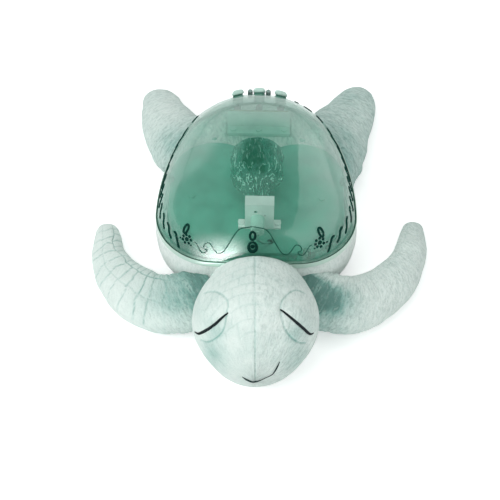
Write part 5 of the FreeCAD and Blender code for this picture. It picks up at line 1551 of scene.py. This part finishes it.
def make_limbs() -> None:
    """Build the four flippers and the tail."""
    # The +X limbs, front_flipper_left and rear_flipper_left, get more teal or tone than the -X
    # ones: part real airbrush, part painted shade on the side away from the key lamp.
    Flipper("front_flipper_right_skin", "front_flipper_right", -1, FRONT_RIGHT_ROWS,
            thick=36.0, teal=0.66, scales=1.0, seed=40, nap=0.35).build()
    Flipper("front_flipper_left_skin", "front_flipper_left", 1, FRONT_LEFT_ROWS, thick=36.0,
            teal=1.5, scales=0.3, seed=42, nap=0.95, tone=0.0, pale_back=0.93,
            fade=0.40).build()
    Flipper("rear_flipper_right_skin", "rear_flipper_right", -1, REAR_RIGHT_ROWS, thick=34.0,
            teal=0.50, scales=0.15, seed=50, nap=0.85, tone=0.08).build()
    Flipper("rear_flipper_left_skin", "rear_flipper_left", 1, REAR_LEFT_ROWS, thick=34.0,
            teal=0.30, scales=0.15, seed=52, nap=1.0, tone=0.26).build()
    Flipper("plush_tail_skin", "plush_tail", 1, TAIL_ROWS, thick=20.4, teal=0.2, scales=0.0,
            seed=61, columns=120).build()


# Moulded pieces that the scene finishes in more detail than the solids


@dataclass
class Relief:
    """Moulded ornament near the rim: a wave line, rings over beads, and strokes behind.

    Points are given for the -X side; the other side is their image about the axis.
    """

    axis: float = -2.0
    wave: Line = (
        (-1.9, -87.7, 82.2), (-6.8, -87.9, 81.4), (-12.7, -88.7, 80.2), (-16.9, -91, 76.2),
        (-21.1, -94.6, 69.6), (-26.7, -98.1, 60.7), (-31.4, -98.6, 58.5), (-34.8, -97.3, 61.7),
        (-38.1, -94.9, 66.9), (-41.5, -94.5, 66.8), (-43.7, -95.4, 63.8), (-42.9, -96.6, 61.2),
        (-40.8, -96.9, 61), (-41.7, -97.7, 58.5), (-45.1, -97.5, 57.5), (-47.7, -95.6, 60.6),
        (-50.2, -93, 64.7), (-52.6, -92, 65.3),
    )
    band: Line = (
        (-64.6, -89, 57), (-68.5, -84.8, 60), (-74.5, -77, 60), (-79.5, -66, 60.5),
        (-82.4, -54, 60.5), (-84.4, -40, 60.5), (-84.5, -24, 60.5), (-82.6, -8, 61),
        (-79.5, 5, 62), (-75.5, 15, 64), (-71.5, 22, 67), (-66, 29, 71), (-61, 35, 74),
        (-55.5, 43, 76), (-49, 50.5, 77.5), (-42, 57, 78.5), (-34.5, 62.5, 79.5),
    )
    stroke: tuple[tuple[float, float], ...] = (
        (0.52, 4), (0.36, 4.6), (0.16, 3.4), (-0.12, -1), (-0.36, -3.6), (-0.5, -4.2),
    )
    pitch: float = 11.4
    strokes: int = 11
    dash: float = 15.0
    dash_gap: float = 3.5
    dashes: int = 4
    step: float = 0.5
    one_sided: int = 2
    line_width: float = 0.44
    stroke_width: float = 1.2
    ring_points: int = 33
    ring_radius: float = 1.1
    seam_shadow_offset: float = 0.18
    seam_shadow_rise: float = 1.05
    seam_shadow_radius: float = 0.42
    core: Triple = (0.0, -24.0, 40.0)

    def mirrored(self, rows: Array) -> list[Array]:
        """The rows and their image about the axis."""
        rows = np.asarray(rows, float)
        return [rows, (2 * self.axis, 0.0, 0.0) + rows * (-1.0, 1.0, 1.0)]

    def lay(self, piece: Piece, rows: Array, widths: Union[float, Array], skin: Skin,
            flat: float = 0.7) -> None:
        """Carry an oval section along a line on the dome.

        Args:
            piece: mesh to add to.
            rows: control points near the dome.
            widths: half width at every control point.
            skin: face of the dome.
            flat: height of the section as a share of its width.
        """
        table = np.column_stack([rows, np.broadcast_to(widths, (len(rows),))])
        line = dense_path(table, 0.6)
        seats, ups = skin.touched(line[:, :3], self.core)
        count = len(line)
        ends = np.minimum(np.arange(count), np.arange(count)[::-1])
        taper = np.minimum(1.0, ends / 3.0 + 0.35)
        piece.add_grid(tube_grid(seats, ups, line[:, 3] * taper, flat, 10))

    def side_strokes(self) -> list[tuple[Array, float]]:
        """S-shaped strokes along the band, then long dashes that climb to the buttons.

        Returns:
            Control points of each stroke, with its weight.
        """
        path = dense_path(np.array(self.band), self.step)
        end = len(path) - 1
        made = []
        for count in range(self.strokes):
            middle = (count + 0.5) * self.pitch
            rows = []
            for along, level in self.stroke:
                reached = int((middle + along * self.pitch) / self.step)
                x, y, z = path[min(end, max(0, reached))]
                rows.append((x, y, z + level))
            made.append((np.array(rows), 1.0))
        for count in range(self.dashes):
            start = self.strokes * self.pitch + count * self.dash
            first = int(start / self.step)
            last = int((start + self.dash - self.dash_gap) / self.step)
            rows = path[first:min(last, end):5]
            if len(rows) > 2:
                made.append((rows, 0.9))
        return made

    def motif(self, piece: Piece, top: Sequence[float], foot: Sequence[float],
              bead: Sequence[float], skin: Skin, cluster: bool) -> None:
        """An upright ring over a bead; the side ones stand on a small cluster.

        Args:
            piece: mesh to add to.
            top: upper end of the ring, near the dome.
            foot: lower end of the ring.
            bead: middle of the bead.
            skin: face of the dome.
            cluster: surround the bead with petals.
        """
        top, foot = np.array(top, float), np.array(foot, float)
        seat, out = (v[0] for v in skin.touched([(top + foot) / 2], self.core))
        up = (top - foot) / 2
        side = np.cross(up, out)
        side *= (1.9 if cluster else 2.2) / np.linalg.norm(side)
        turn = np.linspace(0, 2 * np.pi, self.ring_points)
        loop = seat + np.cos(turn)[:, None] * side + np.sin(turn)[:, None] * up * 0.98
        places, ups = skin.touched(loop, self.core)
        piece.add_grid(tube_grid(places, ups, np.full(len(turn), self.ring_radius), 0.8, 10))
        beads = [(0.0, 0.4, 2.0)]
        if cluster:
            spread = np.radians((20, 70, 120, 170, 215, 265, 320))
            beads = [(4.0 * math.cos(a), 4.0 * math.sin(a), 1.45) for a in spread]
            beads += [(0.0, 0.0, 2.0), (5.8, -3.4, 1.0), (-6.0, -2.8, 1.0)]
        side, up = side / np.linalg.norm(side), up / np.linalg.norm(up)
        for across, along, radius in beads:
            aim = np.array(bead) + across * side + along * up
            place, normal = (v[0] for v in skin.touched([aim], self.core))
            level = np.linspace(0.0, np.pi / 2, 8)
            centres = place + normal * (radius * 0.5 * np.sin(level) - 0.25)[:, None]
            radii = radius * np.cos(level) + 0.02
            piece.add_grid(self.discs(centres, normal, side, radii))
        if not cluster:
            arc = np.array(bead) + 3.4 * np.cos(turn)[:, None] * side
            arc = arc + 4.6 * np.sin(turn)[:, None] * up
            places, ups = skin.touched(arc, self.core)
            weight = 1.35 - 0.35 * np.sin(turn)
            piece.add_grid(tube_grid(places, ups, weight, 0.9, 10))

    def discs(self, centres: Array, normal: Array, side: Array, radii: Array) -> Array:
        """Stacked circles square to a normal.

        Args:
            centres: middle of each circle.
            normal: way that they face.
            side: unit way in their plane.
            radii: radius of each.

        Returns:
            Grid of shape (circles, points, 3).
        """
        turn = np.linspace(0, 2 * np.pi, 18, endpoint=False)[:, None]
        ring = np.cos(turn) * side + np.sin(turn) * np.cross(normal, side)
        return centres[:, None, :] + ring * radii[:, None, None]

    def build(self) -> None:
        """Make the ornament in three pieces, and a dark tube between dome and rim: painted shadow
        in the seam's gap.
        """
        skin = DOME.skin()
        wave = Piece("relief_wave_line")
        for rows in self.mirrored(self.wave):
            self.lay(wave, rows, self.line_width, skin)
        strokes = Piece("relief_side_strokes")
        drawn = self.side_strokes()
        for count, (rows, weight) in enumerate(drawn):
            sides = self.mirrored(rows)
            for line in sides if count < len(drawn) - self.one_sided else sides[1:]:
                self.lay(strokes, line, self.stroke_width * weight, skin, 0.6)
        beads = Piece("relief_rings_and_beads")
        self.motif(beads, (-2.1, -90.2, 78.2), (-2.0, -93.9, 71.9), (-2.0, -96.7, 65.8), skin,
                   False)
        ends = np.array([(-57.1, -82.0, 76.1), (-60.7, -85.2, 68.4), (-58.5, -88.9, 64.8)])
        for top, foot, bead in self.mirrored(ends):
            self.motif(beads, top, foot, bead, skin, True)
        for piece, finish in ((wave, Finish.WAVE_LINE), (strokes, Finish.RELIEF),
                              (beads, Finish.RELIEF)):
            made = piece.make(finish)
            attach(made, ROOT)
        # Painted shadow: a thin dark tube along the seam between dome and rim.
        seam_shadow_tube = Piece("rim_seam_shadow_tube")
        loop = EGG.loop(self.seam_shadow_offset, 480)
        line = np.column_stack([loop, np.full(len(loop), DOME.rim + self.seam_shadow_rise)])
        line = np.vstack([line, line[:2]])
        ups = np.tile((0.0, 0.0, 1.0), (len(line), 1))
        radii = np.full(len(line), self.seam_shadow_radius)
        seam_shadow_tube.add_grid(tube_grid(line, ups, radii, 0.8, 8)[:-2])
        made = seam_shadow_tube.make(Finish.SEAM_SHADOW)
        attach(made, ROOT)


@dataclass
class Drum:
    """Clear rippled drum that throws the moving water light."""

    height: float = 76.0
    wall: float = 1.4
    columns: int = 300
    outer: tuple[tuple[float, float], ...] = (
        (2, 5.1), (2, 18), (1.6, 20.6), (0.2, 22.8), (-2.4, 23.8), (-6, 24),
        (-14, 24), (-22, 24), (-27, 23.6), (-32, 21.6), (-38, 17),
        (-44, 12.6), (-49, 10.2), (-52, 9.5), (-56, 9.5),
    )

    def build(self) -> None:
        """Spin the profile about the axis, ripple it inwards, and give it an inner wall."""
        neck = [(-56.2, 9.5), (-56.2, 4.0), (-61.3, 4.0), (-61.3, 1.5), (-66.6, 1.5)]
        ripple_line = dense_path(np.array(self.outer)[1:], 0.7, 2)
        inner_line = ripple_line[::-1] + (0.0, -self.wall)
        inner_line = inner_line[inner_line[:, 0] < 0.4]
        front = self.ring(np.vstack([[(0.6, 5.1)], [(2.0, 5.1)], ripple_line]))
        tip = self.ring(np.array(neck))
        back = self.ring(np.vstack([inner_line, [(0.6, 17.2)], [(0.6, 5.1)]]))
        piece = Piece("rippled_water_drum")
        piece.add_grid(np.concatenate([front, tip], axis=0), caps=False)
        piece.add_grid(np.concatenate([self.pole(-54.8), back], axis=0), caps=False)
        piece.add_grid(np.concatenate([tip[-1:], self.pole(-66.8)], axis=0), caps=False)
        made = piece.make(Finish.DRUM)
        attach(made, "drum")
        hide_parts("wave_drum")

    def pole(self, y: float) -> Array:
        """A ring shrunk onto the axis, which closes an end."""
        return np.tile((0.0, y, self.height), (1, self.columns, 1))

    def ring(self, line: Array) -> Array:
        """Rings of the profile, each point sunk by the ripple at its place.

        Args:
            line: y and radius of each profile point.

        Returns:
            Grid of shape (points, columns, 3).
        """
        turn = np.linspace(0, 2 * np.pi, self.columns, endpoint=False)[None, :]
        y = line[:, :1] + np.zeros_like(turn)
        r = line[:, 1:] + np.zeros_like(turn)
        swirl = np.sin(9 * turn + y / 3.1 + 1.4 * np.sin(2 * turn + y / 6.0))
        swirl = swirl + 0.8 * np.sin(13 * turn - y / 2.2 + 1.8 * np.sin(3 * turn - y / 7.0))
        pitted = swirl * 0.5 * smooth_step(y, -53.0, -40.0) * (1 - smooth_step(y, -1.0, 1.5))
        r = r - (pitted + 0.9) * 1.1 * smooth_step(r, 9.0, 14.0)
        return np.stack([r * np.cos(turn), y, self.height + r * np.sin(turn)], axis=2)


class ButtonShape(Enum):
    """Corner points of each button's outline, as shares of half its width and depth."""

    TRAPEZOID = ((-0.96, -0.96), (0.77, -0.96), (0.96, 0.96), (-0.7, 0.96))
    WIDE_HEXAGON = ((-1, 0), (-0.62, -1), (0.62, -1), (1, 0), (0.62, 1),
                    (-0.62, 1))
    HEXAGON = ((-1, 0), (-0.48, -1), (0.48, -1), (1, 0), (0.48, 1), (-0.48, 1))


@dataclass
class ButtonRow:
    """Three crowned push buttons in the dome's sloping rear face."""

    half_width: float = 5.3
    half_depth: float = 4.5
    crown: float = 1.2
    edge: float = 1.5
    wall: float = 1.8
    overhang: float = 0.13
    outer_overhang: float = 0.2
    lean: float = 13.0
    twist: float = 12.0
    bevel: float = 0.72
    tuck: float = 0.9
    tuck_depth: float = 0.1
    face_depth: float = 0.3
    rounds: int = 96
    softening: int = 14

    def outline(self, shape: ButtonShape) -> Array:
        """Rounded outline: the corners' polygon softened by repeated averaging.

        Args:
            shape: corners of the button.

        Returns:
            Points of the closed outline, in plan.
        """
        corners = np.array(shape.value) * (self.half_width, self.half_depth)
        closed = np.vstack([corners, corners[:1]])
        steps = np.linalg.norm(np.diff(closed, axis=0), axis=1)
        length = np.concatenate([[0.0], np.cumsum(steps)])
        wanted = np.linspace(0, length[-1], self.rounds, endpoint=False)
        loop = np.stack([np.interp(wanted, length, closed[:, k]) for k in (0, 1)], axis=1)
        for _ in range(self.softening):
            loop = (np.roll(loop, 1, axis=0) + loop * 2 + np.roll(loop, -1, axis=0)) / 4
        return loop

    def cap(self, node: str, shape: ButtonShape) -> None:
        """One button where its solid is: a crowned cap that leans outwards over a skirt painted
        dark as the shadow gap under the cap.

        Args:
            node: name of the solid and of the body it rides on.
            shape: outline of the button.
        """
        solid = frame["nodes"][node].data
        points = np.zeros(len(solid.vertices) * 3)
        solid.vertices.foreach_get("co", points)
        points = points.reshape(-1, 3) / MM
        slope = frame_slope()
        out = np.array((0.0, math.sin(slope), math.cos(slope)))
        down = np.array((0.0, math.cos(slope), -math.sin(slope)))
        heights = points @ out
        top = heights.max()
        base = heights.min()
        face = points[heights > top - self.face_depth]
        middle = (face.max(0) + face.min(0)) / 2
        hand = np.sign(round(middle[0]))
        twist = math.radians(self.twist) * hand
        right = np.array((1.0, 0.0, 0.0))
        axis_x = right * math.cos(twist) + down * -math.sin(twist)
        axis_y = right * math.sin(twist) + down * math.cos(twist)
        loop = self.outline(shape)
        slant = -hand * math.tan(math.radians(self.lean)) * loop[:, 0]
        wide = 1.0 + (self.outer_overhang if hand else self.overhang)
        lip = -self.edge - self.wall
        crown = []
        for share in np.linspace(0.04, 1.0, 16):
            bevel = smooth_step(np.array([share]), self.bevel, 1.0)[0]
            level = self.crown * (1.0 - share**2) - self.edge * bevel**2
            crown.append((wide * share, level, wide * share))
        crown += [(wide, lip, wide), (self.tuck, lip - self.tuck_depth, self.tuck)]
        # Painted shadow: the skirt is dark for the gap under the cap.
        skirt = [(1.0 + 0.015 * k, level, 1.0 - k / 4.0)
                 for k, level in enumerate(np.linspace(lip + 0.3, base - top, 5))]

        def rings(profile: list[Triple]) -> Array:
            """One loop per share of the outline, level from the top, and share of the slant."""
            return np.array([
                middle + loop[:, :1] * share * axis_x + loop[:, 1:] * share * axis_y
                + np.outer(top - middle @ out + level + slant * tilt, out)
                for share, level, tilt in profile])

        made = Piece(f"{node}_cap").add_grid(rings(crown)).make(Finish.BUTTON)
        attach(made, node)
        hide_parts(node)
        side = Piece(f"{node}_skirt").add_grid(rings(skirt)).make(Finish.BUTTON_SHADOW_SIDE)
        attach(side, node)

    def build(self) -> None:
        """Make the three caps."""
        self.cap("button_right", ButtonShape.TRAPEZOID)
        self.cap("button_centre", ButtonShape.WIDE_HEXAGON)
        self.cap("button_left", ButtonShape.HEXAGON)


def frame_slope() -> float:
    """Lean of the button plane from level, in radians, read from the buttons' slide."""
    axis = frame["record"]["behaviour"]["joints"][0]["axis"]
    return math.atan2(-axis[1], -axis[2])


@dataclass
class Lining:
    """Fluffy margin between the deck's two-lobed plateau and the rim."""

    inset: float = 10.0
    lobe: float = 40.0
    lobe_x: float = 38.0
    lobe_y: float = -5.0
    low: float = 48.1
    outer: float = -3.2
    columns: int = 900
    rows: int = 56
    samples: int = 2400
    middle: tuple[float, float] = (0.0, -25.0)
    pod_half: float = 30.0
    pod_front: float = 45.0
    pod_rear: float = 68.0

    def reach(self, loop: Array, angle: Array) -> Array:
        """Distance from the middle to a star-shaped loop at each angle.

        Args:
            loop: plan points.
            angle: directions in radians.

        Returns:
            One distance for each angle.
        """
        rel = loop - self.middle
        turn = np.arctan2(rel[:, 1], rel[:, 0])
        order = np.argsort(turn)
        turn, length = turn[order], np.linalg.norm(rel, axis=1)[order]
        turn = np.concatenate([turn[-3:] - 2 * np.pi, turn, turn[:3] + 2 * np.pi])
        length = np.concatenate([length[-3:], length, length[:3]])
        return np.interp(angle, turn, length)

    def lobes(self) -> Array:
        """Points of the plateau's outline: the rim's front, straight sides, two lobes.

        Returns:
            Plan points in no order.
        """
        rim = EGG.loop(-self.inset, self.samples)
        front = rim[rim[:, 1] < EGG.widest]
        side = np.linspace(EGG.widest, self.lobe_y, 60)
        half = np.full_like(side, EGG.half - self.inset)
        turn = np.linspace(0, math.acos(-self.lobe_x / self.lobe), 500)
        lobe = np.stack([self.lobe_x + self.lobe * np.cos(turn),
                         self.lobe_y + self.lobe * np.sin(turn)], axis=1)
        right = np.vstack([np.stack([half, side], axis=1), lobe])
        return np.vstack([front, right, right * (-1.0, 1.0)])

    def build(self) -> None:
        """Make a closed ring between the two outlines, its top a half oval with layered noise."""
        angle = np.linspace(-np.pi, np.pi, self.columns, endpoint=False)
        inner = self.reach(self.lobes(), angle) + 0.6
        outer = self.reach(EGG.loop(self.outer, self.samples), angle)
        outer = np.maximum(outer, inner + 1.0)
        share = np.concatenate([np.linspace(0, 1, self.rows), np.linspace(1, 0, 4)[1:-1]])
        top = np.concatenate([np.ones(self.rows), np.zeros(2)])
        length = inner[None, :] + (outer - inner)[None, :] * share[:, None]
        x = self.middle[0] + length * np.cos(angle)[None, :]
        y = self.middle[1] + length * np.sin(angle)[None, :]
        plan = sheet(x, y).reshape(-1, 3)
        width = np.clip((outer - inner) / 16.0, 0.25, 1.0)[None, :]
        crown = np.sqrt(np.clip(4 * share * (1 - share), 0, 1))[:, None] * width
        pile = Cloud(71).layered(plan, 6.0).reshape(x.shape) * 0.42
        z = self.low + top[:, None] * (crown * 2.0 + 0.25 + pile * crown)
        under_pod = (np.abs(x) < self.pod_half) & (y > self.pod_front) & (y < self.pod_rear)
        z = np.where(under_pod, np.minimum(z, self.low + 0.1), z)
        grid = np.stack([x, y, z], axis=2)
        piece = Piece("lining_margin")
        front = 1.0 - smooth_step(plan[:, 1], -84.0, -56.0)
        rear = smooth_step(plan[:, 1], 30.0, 56.0)
        tone = 0.02 + 0.14 * Cloud(72).layered(plan, 18.0) + 0.9 * front + 0.22 * rear
        piece.add(grid, ring_faces(*x.shape), airbrush=np.clip(tone, 0, 1),
                  nap=np.full(x.size, 0.9), comb=plan)
        made = piece.make(Finish.LINING)
        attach(made, ROOT)
        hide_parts("plush_lining")


# Finishes of the CAD nodes that keep their own shape

NODES_BY_FINISH: dict[Finish, str] = {
    Finish.RING: "shell_ring",
    Finish.DOME: "shell_dome",
    Finish.TRAY: "base_tray battery_door",
    Finish.DECK: "upper_deck deck_screws",
    Finish.BLACK: "speaker_frame main_board_parts switch_bodies button_right_plunger "
                  "button_centre_plunger button_left_plunger",
    Finish.CONE: "speaker_cone",
    Finish.MAGNET: "speaker_magnet",
    Finish.BOARD: "main_board control_board led_board",
    Finish.POD: "control_pod dome_screws pod_screws",
    Finish.LENS: "indicator_lens_left indicator_lens_right",
    Finish.GEAR: "drum_gear idler_gear motor_pinion",
    Finish.CASE: "gearbox_case gearbox_cover drum_bracket frame_screws",
    Finish.COVER: "motor_can",
    Finish.LAMP: "led_emitters",
    Finish.CONTACT: "battery_contacts",
    Finish.WIRES: "motor_leads led_leads speaker_leads control_leads",
}
NODE_FINISH = {node: finish for finish, nodes in NODES_BY_FINISH.items()
               for node in nodes.split()}


def dress_nodes() -> None:
    """Give every CAD node its finish: those named above, cells, and steel for all others."""
    for name, node in frame["nodes"].items():
        if name.startswith("battery_cell"):
            finish = Finish.CELL
        else:
            finish = NODE_FINISH.get(name, Finish.STEEL)
        PALETTE.dress(node, finish)
        LOG.info("dressed %s with %s", name, finish.name)


# Floor, lamps and camera


def direction(azimuth: float, elevation: float) -> Vector:
    """Unit way from the object, from degrees round it, 0 in front and 90 at +X, and up."""
    turn, lift = math.radians(azimuth), math.radians(elevation)
    return Vector((math.sin(turn) * math.cos(lift), -math.cos(turn) * math.cos(lift),
                   math.sin(lift)))


@dataclass
class Studio:
    """Pale floor, soft lamps and the camera at the photograph's angle."""

    azimuth: float = 1.0
    elevation: float = 50.0
    focal_pixels: float = 1216.0
    centre: tuple[float, float] = (256.5, 190.0)
    frame_side: float = 500.0
    sensor: float = 36.0
    floor_reach: float = 4.0
    card_points: int = 40

    def floor(self) -> None:
        """A wide level floor, white to the camera where no shadow falls."""
        g = Graph("studio_floor")
        seen, glossy, clear = (g.node("ShaderNodeLightPath", output=f"Is {ray} Ray")
                               for ray in ("Camera", "Glossy", "Transmission"))
        glow = g.mix((seen + glossy + clear).clamp(), (0.0, 0.0, 0.0), (0.40, 0.40, 0.40))
        paint = g.surface(Base_Color=(0.93, 0.935, 0.935),
                          Roughness=(g.noise(400.0) * 0.1 + 0.6).clamp(),
                          Specular_IOR_Level=0.1, Emission_Color=glow, Emission_Strength=1.0)
        reach = self.floor_reach
        corners = [(x * reach, y * reach, 0.0) for x, y in ((-1, -1), (1, -1), (1, 1), (-1, 1))]
        mesh = bpy.data.meshes.new("studio_floor")
        mesh.from_pydata(corners, [], [(0, 1, 2, 3)])
        mesh.materials.append(g.finish(paint))
        ground = placed("studio_floor", mesh)

    def lamp(self, name: str, azimuth: float, elevation: float, distance: float,
             size: tuple[float, float], radiance: float) -> None:
        """A rectangular softbox that faces the object.

        Args:
            name: name of the lamp.
            azimuth: degrees round the object, 0 in front and 90 on the +X side.
            elevation: degrees above the horizon.
            distance: from the object's middle, in metres.
            size: width and height.
            radiance: brightness of its face.
        """
        way = direction(azimuth, elevation)
        data = bpy.data.lights.new(name, "AREA")
        data.shape = "RECTANGLE"
        data.size, data.size_y = size
        data.energy = radiance * math.pi * size[0] * size[1]
        box = placed(name, data)
        box.location = Vector((0.0, -0.04, 0.06)) + way * distance
        box.rotation_euler = (-way).to_track_quat("-Z", "Y").to_euler()
        box.visible_glossy = False

    def card(self, name: str, top: Array, foot: Array, radiance: float,
             soft: tuple[float, float, float, float]) -> None:
        """A glowing card that only gloss shows, fading to its edges.

        Args:
            name: name of the card.
            top: points along its upper edge, in metres.
            foot: points along its lower edge, as many.
            radiance: brightness of its middle.
            soft: shares over which it fades at its start, end, foot and upper edge.
        """
        count = self.card_points
        stops = np.linspace(0, 1, count)
        given = np.linspace(0, 1, len(top))
        upper, lower = (np.stack([np.interp(stops, given, np.array(row)[:, k]) for k in range(3)],
                                 axis=1) for row in (top, foot))
        grid = lower[None] + stops[:, None, None] * (upper - lower)[None]
        v, u = np.meshgrid(stops, stops, indexing="ij")
        fade = smooth_step(u, 0.0, soft[0]) * smooth_step(1 - u, 0.0, soft[1])
        fade = fade * smooth_step(v, 0.0, soft[2]) * smooth_step(1 - v, 0.0, soft[3])
        piece = Piece(name)
        faces = grid_faces(count, count, False)
        piece.add(grid.reshape(-1, 3) / MM, [faces], glow=fade.reshape(-1))
        made = piece.make(Finish.TRAY)
        g = Graph(name)
        white = (1.0, 1.0, 1.0)
        light = g.node("ShaderNodeEmission", None, {"Color": white, "Strength": radiance})
        made.data.materials[0] = g.film(white, g.attribute("glow"), light)
        for ray in ("camera", "diffuse", "transmission", "shadow", "volume_scatter"):
            setattr(made, f"visible_{ray}", False)

    def world(self) -> None:
        """Even pale surroundings that look white to the camera."""
        g = Graph("studio_air", "worlds")
        seen = g.node("ShaderNodeLightPath", output="Is Camera Ray")
        soft, white = (g.node("ShaderNodeBackground", None, {"Color": colour, "Strength": power})
                       for colour, power in (((0.94, 0.98, 0.97), 0.61), ((1.0, 1.0, 1.0), 1.0)))
        mixed = g.node("ShaderNodeMixShader", None, {0: seen, 1: soft, 2: white})
        bpy.context.scene.world = g.finish(mixed, "World")

    def camera(self) -> None:
        """Camera aimed along the ray through the frame's middle pixel, with no shift."""
        back = direction(self.azimuth, self.elevation)
        turn = math.radians(self.azimuth)
        right = Vector((math.cos(turn), math.sin(turn), 0.0))
        up = back.cross(right)
        half = self.frame_side / 2
        look = (-back * self.focal_pixels + right * (half - self.centre[0])
                - up * (half - self.centre[1])).normalized()
        data = bpy.data.cameras.new("studio_camera")
        data.sensor_width = self.sensor
        data.lens = self.sensor * self.focal_pixels / self.frame_side
        view = placed("studio_camera", data)
        view.location = Vector(EYE) * MM
        level = look.cross(Vector((0.0, 0.0, 1.0))).normalized()
        rise = level.cross(look)
        view.rotation_euler = Matrix((level, rise, -look)).transposed().to_euler()
        bpy.context.scene.camera = view

    def build(self) -> None:
        """Set up the floor, the lamps, the world and the camera."""
        self.floor()
        self.world()
        self.camera()
        self.lamp("key_box", -58.0, 44.0, 1.6, (1.1, 1.1), 2.9)
        self.lamp("front_box", 12.0, 10.0, 1.6, (1.2, 0.8), 1.6)
        self.lamp("top_box", 170.0, 72.0, 1.7, (1.3, 1.0), 1.1)
        over = [(-0.060, -0.085, 0.080), (-0.034, -0.095, 0.080), (-0.004, -0.098, 0.080)]
        under = [(-0.062, -0.098, 0.044), (-0.034, -0.106, 0.044), (-0.004, -0.108, 0.044)]
        self.card("rim_glow", over, under, 17.0, (0.6, 0.3, 0.02, 0.85))
        rear, front = ([(-0.6, y, 1.2), (0.6, y, 1.2)] for y in (1.7, -0.3))
        self.card("top_flag", rear, front, 0.0, (0.35, 0.35, 0.2, 0.35))
        upper, lower = ([(-2.6, 1.2, z), (-0.9, 1.9, z), (0.9, 1.9, z), (2.6, 1.2, z)]
                        for z in (1.5, 0.01))
        self.card("back_glow", upper, lower, 1.6, (0.3, 0.3, 0.1, 0.6))
        window = [(0.13, -1.5, 0.3), (0.16, -1.5, 0.52), (0.65, -1.5, 1.28), (1.0, -1.5, 1.7),
                  (1.0, -0.8, 1.7), (1.0, 0.68, 1.42), (1.0, 1.56, 0.82)]
        sill = [(x, y, 0.005) for x, y, _ in window]
        self.card("side_window", window, sill, 1.9, (0.01, 0.01, 0.01, 0.02))
        bpy.context.scene.view_settings.view_transform = "Standard"


def main() -> None:
    """Build the part's sub-assemblies, dress the CAD nodes and set up the studio."""
    dress_nodes()
    TORSO.build()
    Head().build()
    make_limbs()
    Relief().build()
    Drum().build()
    ButtonRow().build()
    Lining().build()
    Studio().build()


if __name__ == "__main__":
    main()
